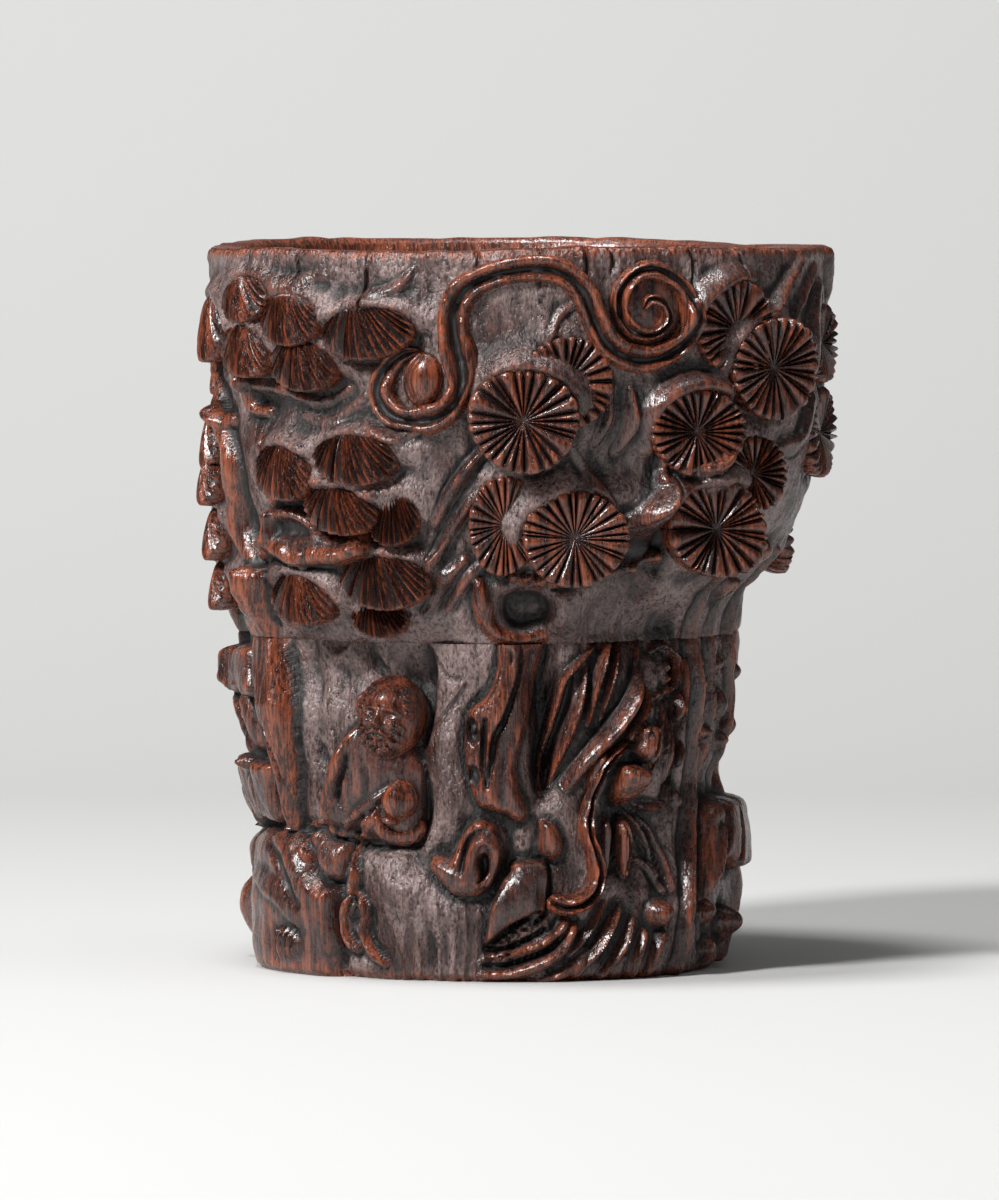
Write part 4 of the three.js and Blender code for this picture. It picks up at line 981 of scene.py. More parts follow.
# The ledge that the figure sits on, and the root that hangs from it and parts round a leaf-shaped eye
lower.ridge([(-57, 21.2, 0.5, 0.6), (-50.5, 21.6, 0.6, 0.9), (-45.5, 20.6, 0.6, 1), (-40.5, 20.1, 0.7, 1.2),
    (-36, 19.9, 0.7, 1.2), (-30.4, 19.6, 0.6, 1), (-24.5, 19.4, 0.5, 0.5)], crown=1.4, lean=0.3, cove=0.4,
    worn=0.35)
lower.ridge(
    [(-37.6, 20.4, 0.45, 1), (-38.9, 18.3, 0.5, 1.4), (-38.3, 16.5, 0.6, 1.6), (-37.5, 14.6, 0.65, 1.8),
     (-37.9, 12.5, 0.7, 1.8)],
    [(-38.1, 12.6, 0.5, 0.3), (-40, 10.6, 0.8, 1.8), (-41.3, 8.1, 0.9, 2), (-40.7, 5.8, 0.9, 2),
     (-38.7, 4.4, 0.9, 1.8), (-36.5, 4.8, 0.6, 1.1)],
    [(-37.7, 12.6, 0.5, 0.3), (-34.9, 11.1, 0.65, 1.7), (-34.4, 9.2, 0.65, 1.8), (-35.4, 7.1, 0.8, 1.9),
     (-34.6, 5.1, 0.95, 2), (-32.5, 3.4, 1, 1.9), (-30, 2.4, 0.8, 1.2)],
    crown=1.7, cove=0.3, grain=0.2, worn=0.8,
)
lower.slab([(-37.6, 11.2), (-39.3, 9.8), (-40, 8.2), (-39.2, 6.8), (-37.5, 7.4), (-36.2, 9.4)], -1, 0.8,
    cove=0)

# The knot to the left of the stump: a teardrop of bark curled round a deep eye, with a dark boss beyond
knot = [
    (-7.5, 23.1), (-5.1, 23.3), (-2.5, 22.8), (-0.1, 21.7), (0.9, 19.8), (0.6, 18), (-0.5, 16.4),
    (-2.2, 14.4), (-4.4, 12.9), (-7.4, 12.2), (-11.2, 12.3), (-14.3, 13.6), (-16.4, 14.8), (-18.3, 16.4),
    (-17.5, 18.1), (-14.4, 18.3), (-12.4, 18.7), (-10.9, 20.7), (-9.5, 22),
]
lower.slab(knot, 2.5, 2.2, cove=0.8, spread=1.7, worn=0.5)
lower.ridge([(-8.5, 14.2, 0.6, 0.5), (-7.9, 16.2, 0.75, 0.9), (-7.6, 18, 0.8, 1.1), (-6.4, 19.8, 0.8, 1.1),
    (-4.4, 20.3, 0.8, 1.1), (-2.3, 19, 0.8, 1), (-1.4, 17.1, 0.8, 0.9), (-2, 15.3, 0.7, 0.8),
    (-3.6, 13.8, 0.6, 0.5)], crown=1.8, cove=0.15, worn=0.2)
lower.slab([(-4.8, 18.9), (-3.6, 18.3), (-3.1, 17), (-3.3, 15.6), (-4.9, 14.3), (-6.6, 14.2), (-6.2, 15.4),
    (-6.6, 16.7), (-6.2, 18.1)], -2.6, 0.8, cove=0)
lower.groove([(-9.9, 15.8, 0.3, -0.5), (-9.6, 17.8, 0.4, -1), (-8.6, 20.1, 0.4, -1),
    (-6.8, 21.4, 0.35, -0.8), (-4.6, 21.9, 0.25, -0.4)])
lower.ridge([(-11.3, 16.9, 0.5, 0.4), (-11, 18.7, 0.6, 0.7), (-9.9, 20.8, 0.6, 0.7),
    (-8.2, 22.2, 0.55, 0.6), (-5.2, 22.8, 0.5, 0.5)], cove=0.1, worn=0.7)
lower.groove([(-2.2, 21.8, 0.5, -0.4), (-0.2, 19.8, 0.6, -0.8), (-0.5, 17.4, 0.6, -0.8),
    (-2.2, 14.6, 0.5, -0.6)])
lower.slab([(7.9, 23.1), (10.6, 23.2), (13.6, 21), (14.2, 18.6), (11.2, 17), (8.1, 18.4)], 1.5, 1.6,
    cove=0.6, worn=0.5)

# Bare ground, worn smooth, that swells and sinks as it runs down, and splintered strands at the foot
lower.swell((-27.5, 14.5, 1.8, 4.5, 0.9, -20), (-22, 12, 1.6, 4, 0.7, -10), (-32, 9, 2.2, 4, -0.9),
    (-24.5, 6, 1.8, 5, 0.7), (-31, 16.5, 2.4, 2, 0.5), (-19, 21.5, 1.6, 3.4, 0.7, -15),
    (-21.5, 17.5, 1.4, 2, -0.8), (-15, 9, 1.8, 3, 0.8), (-18, 4, 1.6, 4, -0.6), (-12, 6, 1.6, 5, 0.6),
    (-20.5, 24.5, 1.2, 2.4, -0.7), (14, 24, 2.4, 3.6, 0.6), (17, 14, 2.4, 3, -0.9), (13.5, 29, 2, 3, -0.8))
for angle in (-26.4, -23.4, -19.7, -18.2, -14.4, -10.6, -8.4):
    top = chance.uniform(4.0, 13.0)
    head = (angle + chance.uniform(-0.6, 1.6), top, 0.3, -0.1)
    lower.groove([(angle, -0.5, 0.5, -0.4), (angle + 0.5, top / 2, 0.7, -0.5), head], crown=1.4)

# The middle pillar of bark, worn orange, with two eyes in its left lobe and a groove down its length
pillar = [
    (-3, 49.4), (-3.2, 44.6), (-5.6, 40.8), (-9.6, 38.8), (-10.6, 35.4), (-10.2, 31.8), (-8.6, 27.8),
    (-6.4, 25), (-1.6, 24), (3.4, 22.8), (5.2, 24.4), (2.6, 28.4), (2, 31.4), (3.6, 34.8), (5.6, 38.8),
    (7.2, 43.2), (8.6, 49.4),
]
for skin in (upper, lower):
    skin.slab(pillar, 2.4, 1.1, cove=0.5, grain=0.3, worn=0.95)
lower.groove([(2.6, 48.5, 0.3, -0.8), (2.2, 44, 0.4, -1.2), (-0.2, 38.6, 0.5, -1.4),
    (-2.8, 34.9, 0.6, -1.5), (-3.6, 31.4, 0.55, -1.4), (-4.4, 28, 0.4, -0.7)])
lower.groove([(4.8, 46.5, 0.8, -0.5), (3.4, 41, 1.2, -0.8), (0.6, 36.4, 1.4, -1.1), (-1, 32, 1.3, -1.1),
    (-1.2, 27.4, 1.3, -0.9), (0.2, 24.6, 1, -0.5)], fall=1, worn=0.1)
lower.groove([(-5.2, 37.6, 0.35, -0.8), (-5.5, 34.6, 0.5, -1.1), (-5.3, 30.6, 0.45, -0.9),
    (-4.8, 28.2, 0.3, -0.4)])
for angle, height, wide, tall in ((-8.2, 35.9, 0.85, 2.1), (-7.6, 29.4, 0.9, 1.7)):
    lower.lump((angle, height, wide, tall, -2, 10), crown=2.5, cove=0)
    lower.lump((angle, height, wide * 0.4, tall * 0.45, 0.7, 10), cove=0, worn=0.1)
lower.groove([(-0.9, 47.6, 0.2, -0.3), (0.4, 46.6, 0.3, -0.6), (0.3, 45.4, 0.2, -0.4)])

# Long blades of bark to the right of the pillar
for blade in (
    [(22.4, 47.6, 0.6, 0.8), (17.4, 45.2, 0.9, 1.6), (13.6, 43, 0.9, 1.9), (11.8, 39, 0.9, 1.8),
     (9.8, 34.6, 0.9, 1.6), (8.2, 30, 0.8, 1.2), (8.4, 26.6, 0.5, 0.4)],
    [(19.6, 44.8, 0.7, 1), (18, 40.5, 1, 1.8), (15.4, 35.8, 1, 1.9), (12.4, 31, 0.8, 1.4),
     (10.8, 28, 0.5, 0.5)],
    [(30.4, 54.5, 0.7, 0.9), (28.4, 50.4, 0.9, 1.8), (24.4, 46, 1, 2.2), (21.6, 41.4, 1, 2),
     (20, 37, 0.8, 1.2)],
    [(34.4, 53, 0.6, 0.7), (30.6, 48.6, 0.8, 1.4), (26.6, 43.6, 0.8, 1.6), (24.4, 39.4, 0.7, 1.2),
     (23, 36, 0.5, 0.6)],
    [(40.5, 53, 0.8, 0.8), (37, 48, 0.9, 1.1), (34.6, 44.4, 0.7, 0.7)],
):
    for skin in (upper, lower):
        skin.ridge(blade, crown=1.25, fall=1, cove=0.5, spread=1.2, lean=0.25, worn=0.3)
lower.groove([(15.8, 43.2, 0.5, -0.8), (14.4, 38.5, 0.8, -1.3), (12, 34, 0.6, -1), (10, 30.4, 0.4, -0.5)])

# The old limb, the box and the bell-shaped bundle beside the ribbon, and the leaves round them
lower.ridge([(34.6, 43.6, 0.8, 1.6), (32, 40.8, 1.3, 3), (29.2, 38, 1.5, 3.4), (25.8, 35.4, 1.6, 3.2),
    (22.2, 33.2, 1.6, 2.6), (18.6, 30.6, 1.5, 1.8), (15.6, 28, 1.2, 0.9)], crown=1.7, cove=0.4, grain=0.3,
    worn=0.35)
lower.ridge([(35.6, 41.4, 0.6, 1.6), (35.2, 38.8, 0.7, 2.4), (33, 36.4, 0.8, 2.2), (31, 34.4, 0.7, 1.6)],
    crown=1.5, worn=0.5)
lower.groove([(33, 40.2, 0.25, -0.9), (31.4, 38.4, 0.35, -1.2), (30, 36.2, 0.3, -0.9)])
lower.slab([(31, 32.6), (32.4, 35.4), (34.6, 36.6), (38.4, 35.6), (38, 32.2), (35.2, 30.2)], 3.2, 0.7,
    cove=0.6, worn=0.3)
lower.groove([(36.6, 35.4, 0.25, -0.7), (35.6, 33.2, 0.35, -1.1), (34.6, 31, 0.25, -0.6)])
lower.slab([(26.6, 27.6), (28, 30.6), (33, 30.8), (37.6, 29.6), (36.2, 27), (33, 24.9), (29.4, 24.5),
    (27, 25.8)], 3.2, 1.5, cove=0.8, spread=1.6, grain=0.25, worn=0.8)
lower.ridge(
    [(41.2, 46.4, 0.6, 0.9), (43.8, 47.2, 0.8, 1.4), (47.4, 46, 0.8, 1.7), (48.2, 43.8, 0.8, 1.7),
     (46.2, 41.4, 0.8, 1.5), (42.6, 40.6, 0.7, 1.3), (38.6, 40.2, 0.6, 0.9)],
    [(44.4, 44.6, 0.5, 0.9), (45.4, 43, 0.6, 1.1), (43.8, 42.2, 0.5, 0.7)],
    [(36.6, 24.6, 0.7, 0.7), (41, 24, 1, 1.4), (45.4, 24.8, 0.9, 1.5), (47.8, 27, 0.6, 0.9)],
    [(41.8, 39.6, 0.6, 0.9), (40.7, 36.4, 0.7, 1.3), (39.4, 32.8, 0.7, 1.2), (38.8, 28.6, 0.6, 0.7)],
    [(44.6, 39.4, 0.6, 0.8), (43.6, 35.4, 0.7, 1.2), (42.4, 31, 0.6, 0.8)],
    [(48, 40.6, 0.7, 1), (46.8, 37.2, 0.8, 1.4), (45.6, 32.6, 0.8, 1.3), (45.2, 28, 0.6, 0.7)],
    [(51.4, 45, 0.8, 1), (50.4, 38, 0.9, 1.5), (49, 31, 0.9, 1.3), (49.6, 26, 0.7, 0.7)],
    [(33.6, 23.8, 0.6, 0.7), (37, 21.6, 0.9, 1.4), (40.4, 18.6, 0.9, 1.3), (42.6, 14.6, 0.7, 0.9)],
    [(37.8, 23, 0.6, 0.6), (42, 20.6, 0.9, 1.2), (45, 17, 0.9, 1.2), (46.6, 12.6, 0.7, 0.8)],
    [(36.4, 17, 0.6, 0.7), (40.4, 15.6, 0.9, 1.2), (43.4, 12.4, 0.8, 0.9)],
    crown=1.3, fall=1, cove=0.35, lean=0.2, worn=0.3,
)
lower.slab([(24.4, 22.6), (27.2, 23.2), (28.6, 20.6), (28, 16.4), (26, 14.8), (24.6, 17.6)], 1.6, 1.4,
    worn=0.05)
lower.slab([(29.6, 22.4), (32, 23.4), (34.4, 21.4), (34.6, 17.8), (32.4, 14.4), (30.2, 15.2), (29, 18.6)],
    2.4, 1.6, worn=0.8, grain=0.2)
lower.groove([(31.6, 22, 0.25, -0.5), (32.6, 18.6, 0.35, -0.9), (31.6, 15.6, 0.25, -0.4)])

# The cut stump with its lit upper edge and shaded side, two stippled strips cut across its foot, and
# the engraved bands that sweep up below it
stump = [
    (0.6, 15.6), (1.4, 17.1), (5.4, 17.4), (9.4, 17.5), (10.3, 16.2), (10.3, 12.9), (9.2, 9.6), (4.5, 9.1),
    (-0.7, 7.1), (-4.5, 5.2), (-4, 7.4), (-3.6, 9.3), (-2.9, 11.1), (-1.8, 12.9), (-0.6, 14.7),
]
lower.slab(stump, 2, 0.5, cove=0.4, worn=0.12, grain=0.2)
lower.groove([(9.2, 16.8, 1, -0.4), (9.2, 13, 1.3, -1), (8.8, 10, 1, -0.6)], crown=1.3, fall=1)
lower.ridge([(0.9, 16.4, 0.3, 0.3), (3, 17, 0.4, 0.5), (7.4, 17.1, 0.4, 0.5), (9.4, 16.6, 0.3, 0.3)],
    cove=0.1, worn=0.1)
lower.groove(
    [(-4.5, 4.9, 0.3, -0.6), (-0.7, 6.6, 0.4, -1), (4, 8.6, 0.4, -1.1), (8.1, 10.1, 0.35, -0.9),
     (9.3, 9.9, 0.25, -0.5)],
    [(-4.2, 4.2, 0.3, -0.5), (1.5, 5.1, 0.4, -1), (5.9, 6.2, 0.4, -1), (9.7, 7.6, 0.35, -0.8)],
    [(-0.7, 7.3, 0.2, -0.5), (1.9, 8.2, 0.3, -0.8), (4.6, 8.8, 0.2, -0.5)],
    [(-4.7, 2.4, 0.3, -0.5), (1.6, 2.5, 0.4, -1), (8.4, 3.9, 0.4, -1), (12.3, 4.9, 0.3, -0.7)],
)
for share in np.linspace(0, 1, 26):
    for low, rise in ((4.7, 4.4), (3.0, 3.4)):
        spot = (-3.6 + 13 * share, low + rise * share + chance.uniform(-0.5, 0.5))
        lower.lump((*spot, chance.uniform(0.25, 0.45), chance.uniform(0.2, 0.35), -0.7), cove=0)
lower.ridge(
    [(-4.6, 3.2, 0.7, 0.5), (1.5, 3.9, 0.8, 0.9), (8.3, 5.2, 0.9, 1.1), (12.5, 6.6, 0.9, 1.3),
     (14.9, 8.4, 0.7, 0.9)],
    [(-5, 0.8, 0.8, 0.6), (1.8, 1, 1, 1), (9, 2.4, 1.1, 1.5), (14.5, 4.6, 1.1, 1.6), (17.6, 7.8, 0.8, 1)],
    [(5.6, -0.8, 0.7, 0.6), (11.6, 0.2, 1, 1.1), (17, 1.8, 1, 1.1), (20.4, 4.4, 0.8, 0.7)],
    crown=2.2, cove=0.4, lean=0.15, worn=0.3,
)
lower.ridge(
    [(30, 10.4, 0.7, 0.9), (27, 7.6, 1.1, 1.8), (23.5, 4.4, 1.1, 1.8), (18.8, 1, 1, 1.2)],
    [(25.4, 11, 0.6, 0.8), (22.4, 8, 0.9, 1.4), (19.6, 5.6, 0.9, 1.2), (16.4, 3.6, 0.6, 0.6)],
    [(33.4, 8.6, 0.6, 0.9), (30.4, 4.8, 0.9, 1.6), (26.8, 1.6, 0.9, 1.3), (24, -0.5, 0.7, 0.7)],
    [(36.8, 6.6, 0.7, 1), (34.8, 3.2, 0.9, 1.6), (34.2, 0.2, 0.9, 1.4)],
    [(43.4, 7, 0.7, 0.9), (40.6, 4.2, 0.9, 1.4), (38.6, 0.2, 0.9, 1.1)],
    crown=1.4, fall=0.9, cove=0.4, lean=-0.3, worn=0.45,
)


def turned(spots, most):
    """The spots of bosses, each given a turn of its own, up to so many degrees either way."""
    return [(*spot, chance.uniform(-most, most)) for spot in spots]


# Knots and pits that break the tall ribs on the right
knots = (
    (58.6, 44.6, 1, 1.6, 1.1), (61.8, 41.4, 1.4, 1, 1.3), (59.4, 37, 0.9, 2.2, 1),
    (64, 34.2, 1.6, 1.2, 1.4), (60.2, 30.6, 1, 1.8, 1), (69.5, 44, 1.6, 1.4, 1.4),
    (71.6, 38.2, 1.4, 2.4, 1.4), (74, 32.8, 1.8, 1.4, 1.5), (84, 42.4, 1.8, 1.8, 1.6),
    (86, 34.6, 1.6, 2.2, 1.6), (47.5, 38.2, 1.2, 2.6, 1.2), (49.6, 31.4, 1, 2, 1.2),
    (51, 25.2, 1.1, 1.6, 1.1),
)
pits = (
    (60.4, 47, 0.9, 1.4, -1.6), (63.6, 38.4, 0.9, 1.8, -1.6), (58.2, 33.8, 0.8, 1.4, -1.6),
    (68.4, 41, 1, 1.6, -1.6), (68.2, 30.8, 1.2, 1.6, -1.6), (73.4, 45.6, 1, 1.4, -1.6),
    (76.6, 36.2, 1.2, 1.8, -1.6), (46.4, 43.6, 1, 2.2, -1.6), (49, 28.4, 0.9, 1.4, -1.6),
)
lower.lump(*turned(knots, 30), worn=0.3)
lower.lump(*turned(pits, 20), cove=0)
# Two shallow dips, right of the bundle and under it, darkened with painted shadow
for shadow in (
    [(40, 50), (44, 47), (46, 40), (52, 34), (54, 28), (50, 22), (44, 20), (42, 26), (44, 33), (40, 40)],
    [(26, 24.4), (33, 25), (40, 27), (46, 22), (47, 14), (40, 11), (33, 13), (29, 14), (24, 12), (24, 18)],
):
    lower.slab(shadow, -0.8, 2.4, cove=0, shade_depth=0.45)

# The block that juts from the tall rib on the right, and its folds and knobs
lower.slab([(58.4, 23), (63.2, 24.8), (72, 25), (92, 24.4), (96, 18), (92, 14.4), (76, 14), (65.4, 15.4),
    (61.3, 13.2), (57.6, 10.2), (56.8, 13)], 3.8, 1.3, cove=0.5, worn=0.6)
lower.groove(
    [(67.5, 24, 0.6, -0.8), (66, 19.4, 0.9, -1.2), (62.5, 14.6, 0.7, -0.8)],
    [(76, 23.6, 0.6, -0.7), (74, 18.6, 0.9, -1.1), (71, 14.6, 0.6, -0.7)],
)
lower.ridge([(64, 20.6, 0.8, 0.6), (61.5, 15.6, 0.9, 0.9), (59.6, 10.6, 0.8, 0.8), (60, 5, 0.7, 0.6)],
    crown=1.5, worn=0.5)
lower.lump((75.9, 6.6, 2.6, 2.6, 3.6), (62.4, 8.6, 2, 2.2, 2.2), (41, 9.2, 2.3, 2.3, 2.4),
    (15.2, 7.6, 1.6, 1.8, 0.8), (84, 5.6, 2.6, 2.8, 2), (66, 3, 2.2, 2.2, 1.6), worn=0.65)

# Round the back: rocks at the foot, bosses between the posts, and hollows
back_rocks = (
    (104, 18, 3.6, 4.2, 1.8), (132, 9, 5, 5.4, 2.2), (166, 8, 4.6, 5, 2), (-152, 10, 5.4, 6, 2.2),
    (-124, 9, 4.8, 5.2, 1.6), (-104, 8, 4.2, 5, 0.8), (-126, 24, 3.8, 4.6, 1.8), (136, 38, 3.6, 4.6, 1.6),
    (-156, 36, 3.6, 4.8, 1.6),
)
back_hollows = (
    (108, 40, 3, 5, -1.8), (136, 22, 3, 4.6, -1.8), (170, 42, 3, 4, -1.8), (-156, 22, 3.2, 5, -1.8),
    (-124, 40, 3.2, 5, -1.8),
)
lower.lump(*turned(back_rocks, 20), crown=1.4, cove=0.6, spread=2, worn=0.5)
lower.lump(*turned(back_hollows, 15))

# The seated elder's robe: back and shoulder, the long worn fold, the sleeve's edge and the sleeve
robe = [
    (-34, 37.6), (-38.2, 36.2), (-41.1, 34.6), (-43.7, 32.4), (-45.2, 30.3), (-46.6, 28.1), (-48.2, 25.8),
    (-49.5, 23), (-48, 21), (-43.8, 19.9), (-36, 20), (-28, 20.2), (-21.5, 20.6), (-20.5, 25), (-20.6, 29),
    (-22, 32), (-26, 35),
]
lower.slab(robe, 2.6, 3, cove=0.6, spread=1.8, worn=0.25, grain=0.15)
lower.ridge([(-37, 36.2, 0.8, 0.5), (-39.8, 33.8, 1.3, 1), (-42, 30.8, 1.5, 1.4), (-43.4, 27.8, 1.6, 1.5),
    (-44.8, 25, 1.4, 1.3), (-46, 22, 1, 0.8), (-45.8, 20.4, 0.5, 0.4)], crown=2, cove=0.1, grain=0.35,
    worn=1)
lower.groove([(-39.2, 33.6, 0.3, -0.4), (-39, 30.5, 0.45, -0.9), (-40.6, 27.8, 0.45, -1.1),
    (-40.8, 25.6, 0.4, -1), (-39.8, 24.2, 0.3, -0.5)])
lower.ridge([(-40.9, 27.4, 0.2, 0.4), (-40.2, 25.4, 0.28, 0.7), (-39, 23.8, 0.2, 0.5)], cove=0, worn=0.1)
lower.ridge([(-28.2, 27.2, 0.5, 0.5), (-32.4, 25.1, 0.8, 1), (-36.3, 23.3, 0.85, 1.1),
    (-40.6, 21.2, 0.6, 0.6)], crown=2.2, cove=0.35, worn=0.05)
lower.slab([(-30, 25.1), (-33, 23.4), (-35.6, 21.7), (-36.2, 20.2), (-30.8, 20.2), (-30.2, 22.6)], 1.3, 0.8,
    cove=0.2, worn=0.6)
lower.ridge([(-30.9, 25, 0.22, 0.5), (-33.2, 23.5, 0.28, 0.8), (-33.8, 21.9, 0.28, 0.7),
    (-33.2, 20.6, 0.2, 0.4)], cove=0.15, worn=0.3)
lower.groove([(-33.6, 30.6, 0.4, -0.3), (-33.2, 28.6, 0.5, -0.5), (-33.6, 26.8, 0.4, -0.3)])
lower.chisel(0.32, across=1.5, along=5)
lower.chisel(0.19, across=0.6, along=1.4)
lower.rise -= seam_gap * bell((seam_height - lower.height) / seam_half_width)
lower.rise -= 0.8 * bell(lower.height / 0.5)
seat_radius, floor_top, tongue_top = 28.8, 8.0, 53.0
cavity_radii = np.array([seat_radius, seat_radius, 25.5, 25.5, 25.8, 26.3, 26.5, 26.5, 29.5, 29.5])
cavity_heights = np.array([0.0, 4.5, 4.5, floor_top, 16.0, 30.0, 46.0, tongue_top, tongue_top, seam_height])
lower_wall = block_wall("lower_wall", lower, cavity_radii, cavity_heights)
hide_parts("lower_block")


# The elder's head, left in the round on a short neck. Bald, with side hair, ears and a curled beard; the
# face is a plain calm one on schoolbook proportions, eyes at half height and a straight nose.
def head_shape(x, y):
    """Millimetres that the face stands out at a place across and up, both from -1 to 1."""
    side = np.abs(x)
    eye = side - 0.3
    skull = 4.5 * np.sqrt(np.clip(1 - 0.92 * x**2 - 0.92 * y**2, 0, 1))
    forehead = 0.45 * bell(x / 0.45, (y - 0.42) / 0.28)
    brow = 0.38 * bell((y - 0.14 + 0.35 * eye**2) / 0.06) * (side < 0.62) * np.clip(side * 8, 0, 1)
    socket = 0.62 * bell(eye / 0.17, (y - 0.01) / 0.11)
    lid = 0.42 * bell(eye / 0.15, (y + 0.01) / 0.06)
    lid_line = 0.2 * bell(eye / 0.15, (y + 0.025 + 0.3 * eye**2) / 0.015)
    slope = np.clip((0.14 - y) / 0.4, 0, 1)
    nose = (0.35 + 0.85 * slope) * bell(x / (0.075 + 0.05 * slope))
    nose = nose * np.clip((y + 0.31) / 0.06, 0, 1) * (y < 0.2)
    nostrils = 0.42 * bell((side - 0.13) / 0.06, (y + 0.25) / 0.06)
    cheeks = 0.45 * bell((side - 0.4) / 0.17, (y + 0.16) / 0.13)
    lips = 0.28 * bell(x / 0.2, (y + 0.52) / 0.045) - 0.22 * bell(x / 0.2, (y + 0.465) / 0.02)
    droop = y + 0.37 + 0.9 * side**2
    moustache = 0.42 * bell(droop / 0.05) * np.clip(side * 9, 0, 1) * (side < 0.5)
    out = forehead + brow - socket + lid - lid_line + nose + nostrils + cheeks + lips + moustache
    return skull + 1.35 * out


def beard_curls(x, y):
    """Curls of hair: each a small spiral, in rows below the mouth and up the jaw to the ears."""
    out = np.zeros_like(x)
    middle = [(0, -0.66), (0, -0.97), (-0.1, -0.84), (0.11, -0.84)]
    pairs = [(0.2, -0.68), (0.37, -0.56), (0.3, -0.78), (0.54, -0.42), (0.5, -0.64), (0.66, -0.24)]
    pairs += [(0.68, -0.46), (0.76, 0.3), (0.7, 0.5), (0.84, 0.1), (0.56, 0.66)]
    for cx, cy in middle + pairs + [(-cx, cy) for cx, cy in pairs]:
        away = np.hypot(x - cx, (y - cy) * 1.28) / 0.135
        swirl = np.arctan2(y - cy, (x - cx) * (1 if cx > 0 else -1))
        bump = np.clip(1 - away**2, 0, 1) ** 0.5
        out = np.maximum(out, bump * (0.62 + 0.2 * np.cos(away * 6.5 + swirl)))
    return out


def domed(bosses, skin, spot, shape, depth, turn=0, tip=0, yaw=0, rings=34, spokes=132, crest=0):
    """A boss whose front is a height over the unit disc, with its sides run down into the wood. Its spot
    is an angle, a height, a half width and a half height."""
    angle, height, half_wide, half_tall = spot
    round_angle = np.linspace(0, 2 * math.pi, spokes + 1)
    out = np.concatenate([np.linspace(0, 1, rings) ** 0.85, [1.0, 0.97, 0.9, 0.0]])
    x, y = np.outer(np.sin(round_angle), out), np.outer(np.cos(round_angle), out)
    z = shape(x, y)
    for k, drop in enumerate((0.35, 0.7, 1.0, 1.0)):
        z[:, rings + k] = z[:, rings - 1] * (1 - drop) - depth * drop
    points = np.stack([x * half_wide, y * half_tall, z], -1)
    bosses.add(seated(points, angle, height, level(skin, angle, height, 2), turn, tip, yaw), crest)


def dome(x, y, tall):
    return tall * np.sqrt(np.clip(1.02 - x**2 - y**2, 0, 1))


def ball_shape(x, y):
    """A fruit held in the lap, drawn to a point at the top, with a sharp keel down its front."""
    keel = np.exp(-np.abs(x - 0.2 + 0.1 * y) / 0.2) * np.clip(1.4 - 1.4 * y**2, 0, 1)
    return dome(x * (1 + 0.3 * np.clip(y, 0, 1)), y, 2.5) + 0.7 * keel


def head_and_beard(x, y):
    return head_shape(x, y) + 1.2 * beard_curls(x, y)


elder = Bosses()
domed(elder, lower, (-30, 37.2, 4.8, 6.2), head_and_beard, 3, turn=-8, tip=-10, yaw=6)
domed(elder, lower, (-37.2, 39.4, 0.9, 2.1), lambda x, y: dome(x, y, 2.4), 1.5, turn=-22, rings=12, spokes=40)
domed(elder, lower, (-25.4, 25.8, 2.7, 2.9), ball_shape, 1, rings=30, spokes=96, crest=0.5)
domed(elder, lower, (-27.4, 22.9, 1.5, 0.7), lambda x, y: dome(x, y, 1.7), 0.6, turn=-14, rings=14, spokes=48)
knee = (
    (-30.4, 23.9, 0.7, 0.8), (-30.6, 22.3, 1, 1.1), (-28.6, 20.9, 1.2, 1.3), (-25.5, 20.5, 1.2, 1.3),
    (-22.3, 21.2, 1.1, 1.2), (-21.2, 22.9, 0.8, 0.9),
)
strap(elder, lower, knee, round_section)
elder.piece("elder", "lower_wood", worn=0.6)


# The bud that the vine curls round
def bud_shape(x, y):
    groove = bell((np.hypot(x - 0.3, y - 0.05) - 0.85) / 0.13) * np.clip(-x * 4, 0, 1)
    return dome(x, y, 2.2) - 0.6 * groove


domed(creeper, upper, (-18, 85.8, 2.9, 3.9), bud_shape, 1, turn=-8, rings=26, spokes=90, crest=0.3)
creeper.piece("vine", "upper_wood", worn=0.6)


# The cloth ribbon that hangs from the limb, doubles back at the foot and ends in a knob
ribbon = Bosses()
hanging = (
    (31, 34.4, 0.4, 1.2), (28, 33, 0.6, 2), (25.2, 31.6, 0.7, 2.4), (23, 29.7, 0.75, 2.4),
    (21.8, 27.2, 0.8, 2.3), (20.8, 24.8, 0.9, 2.2), (20, 22.4, 1, 2.2), (20.3, 20.4, 1.1, 2.2),
    (21.8, 18.2, 1.25, 2.4), (22.9, 15.8, 1.4, 2.6), (22, 13.2, 1.5, 2.8), (19, 11.6, 1.6, 3),
    (15.4, 10.9, 1.7, 3), (12.4, 11.3, 1.6, 2.6), (10.8, 12.2, 1.1, 1.8),
)
tie = ((24.8, 32.6, 0.4, 1.2), (22.6, 31.4, 0.6, 1.8), (21.3, 29.4, 0.6, 1.7), (20.6, 27.4, 0.4, 1))
strap(ribbon, lower, hanging, ribbon_section)
strap(ribbon, lower, tie, round_section)
ribbon.piece("ribbon", "lower_wood", worn=0.35)


# The floor plug, turned from the same wood and let in from below
floor_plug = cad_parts["floor_plug"]
floor_plug.data.materials.clear()
floor_plug.data.materials.append(carved_wood)


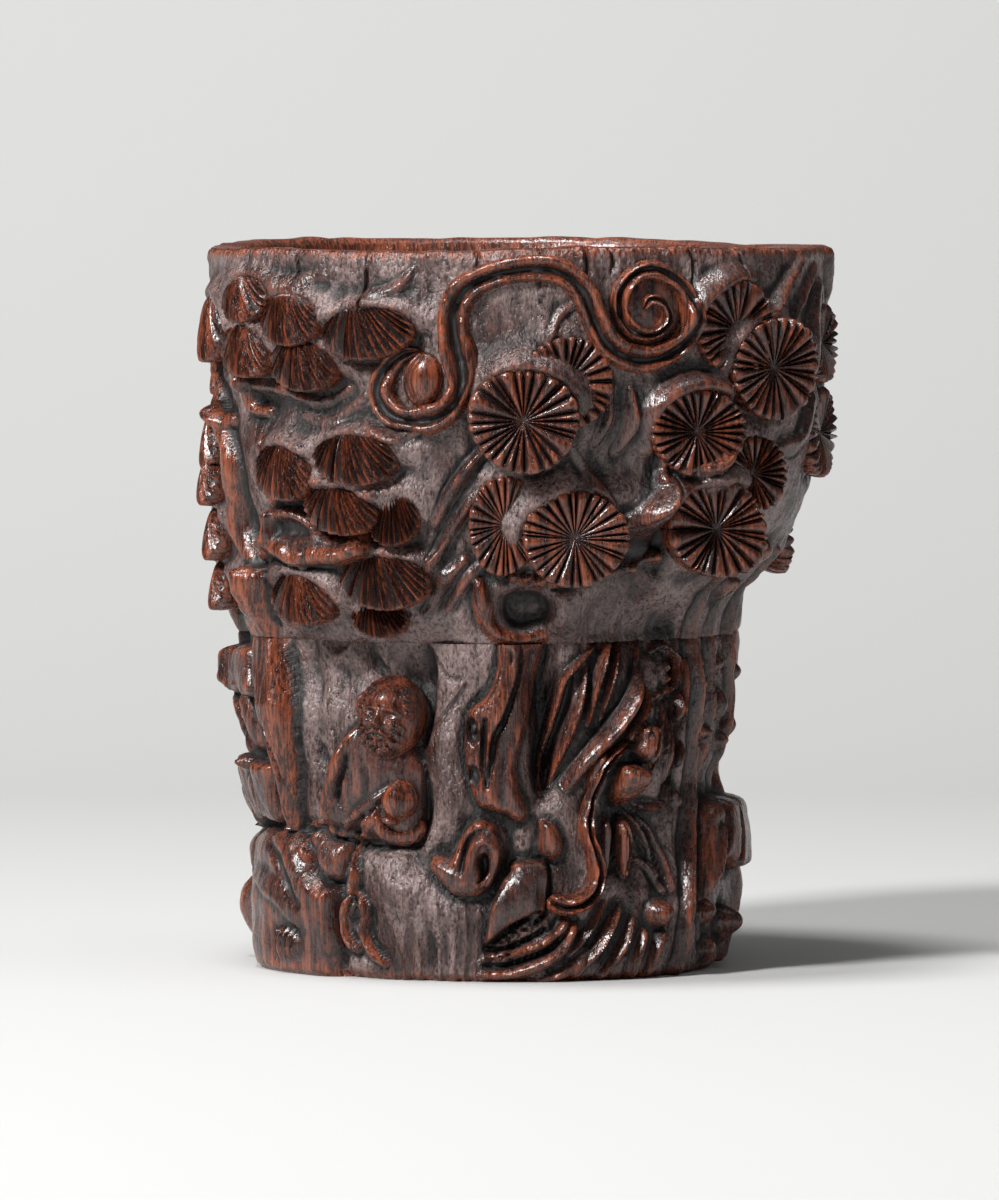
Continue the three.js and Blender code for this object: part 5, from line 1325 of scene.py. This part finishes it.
# The stage. A plain pale sheet that curves up a little behind the cup, under one large soft lamp from
# the upper left, one overhead, a weak one on the right and one that lights the sheet behind.
sheet_half_width, sheet_start, bend_start, bend_radius = 2.5, -1.9, 0.35, 0.45
profile = [(sheet_start, 0.0)]
for t in np.linspace(0, math.radians(50), 17):
    profile.append((bend_start + bend_radius * math.sin(t), bend_radius * (1 - math.cos(t))))
corners = [(x, y, z) for y, z in profile for x in (-sheet_half_width, sheet_half_width)]
strips = [(2 * k, 2 * k + 1, 2 * k + 3, 2 * k + 2) for k in range(len(profile) - 1)]
sheet = mesh_piece("pale_sheet", np.array(corners) / MM, strips)
paper = Finish("pale_paper")
paper.set(Base_Color=(0.56, 0.56, 0.55, 1), Roughness=0.8)
sheet.data.materials.append(paper.material)

world = bpy.context.scene.world or bpy.data.worlds.new("studio")
bpy.context.scene.world = world
world.use_nodes = True
surround = world.node_tree.nodes["Background"]
surround.inputs["Color"].default_value = (0.93, 0.96, 1.0, 1)
surround.inputs["Strength"].default_value = 0.06


def lamp(name, place, aim, size, power):
    light = bpy.data.lights.new(name, "AREA")
    light.shape, light.size, light.size_y = "RECTANGLE", size[0], size[1]
    light.energy = power
    holder = bpy.data.objects.new(name, light)
    bpy.context.scene.collection.objects.link(holder)
    holder.location = place
    holder.rotation_euler = (Vector(aim) - Vector(place)).to_track_quat("-Z", "Y").to_euler()


middle = (0, 0, cup_height * MM * 0.5)
lamp("key_softbox", (-0.84, -0.88, 0.98), middle, (0.22, 0.26), 29.0)
lamp("top_softbox", (-0.12, -0.10, 0.90), middle, (0.18, 0.18), 5.0)
lamp("right_softbox", (0.75, -0.5, 0.25), middle, (0.3, 0.6), 0.2)
lamp("backdrop_lamp", (0.0, -0.1, 1.3), (0, 0.7, 0.15), (1.6, 0.5), 4.5)

# A long lens from about the height of the rim, as in the photo
camera_place, camera_dip, camera_lens = (-0.0015, -1.58, 0.135), 2.987, 328.3
camera = bpy.data.objects.new("camera", bpy.data.cameras.new("camera"))
bpy.context.scene.collection.objects.link(camera)
camera.location = camera_place
camera.rotation_euler = (math.radians(90 - camera_dip), 0, 0)
camera.data.lens = camera_lens
camera.data.sensor_width = 36
camera.data.clip_end = 20
bpy.context.scene.camera = camera
bpy.context.scene.view_settings.view_transform = "Standard"
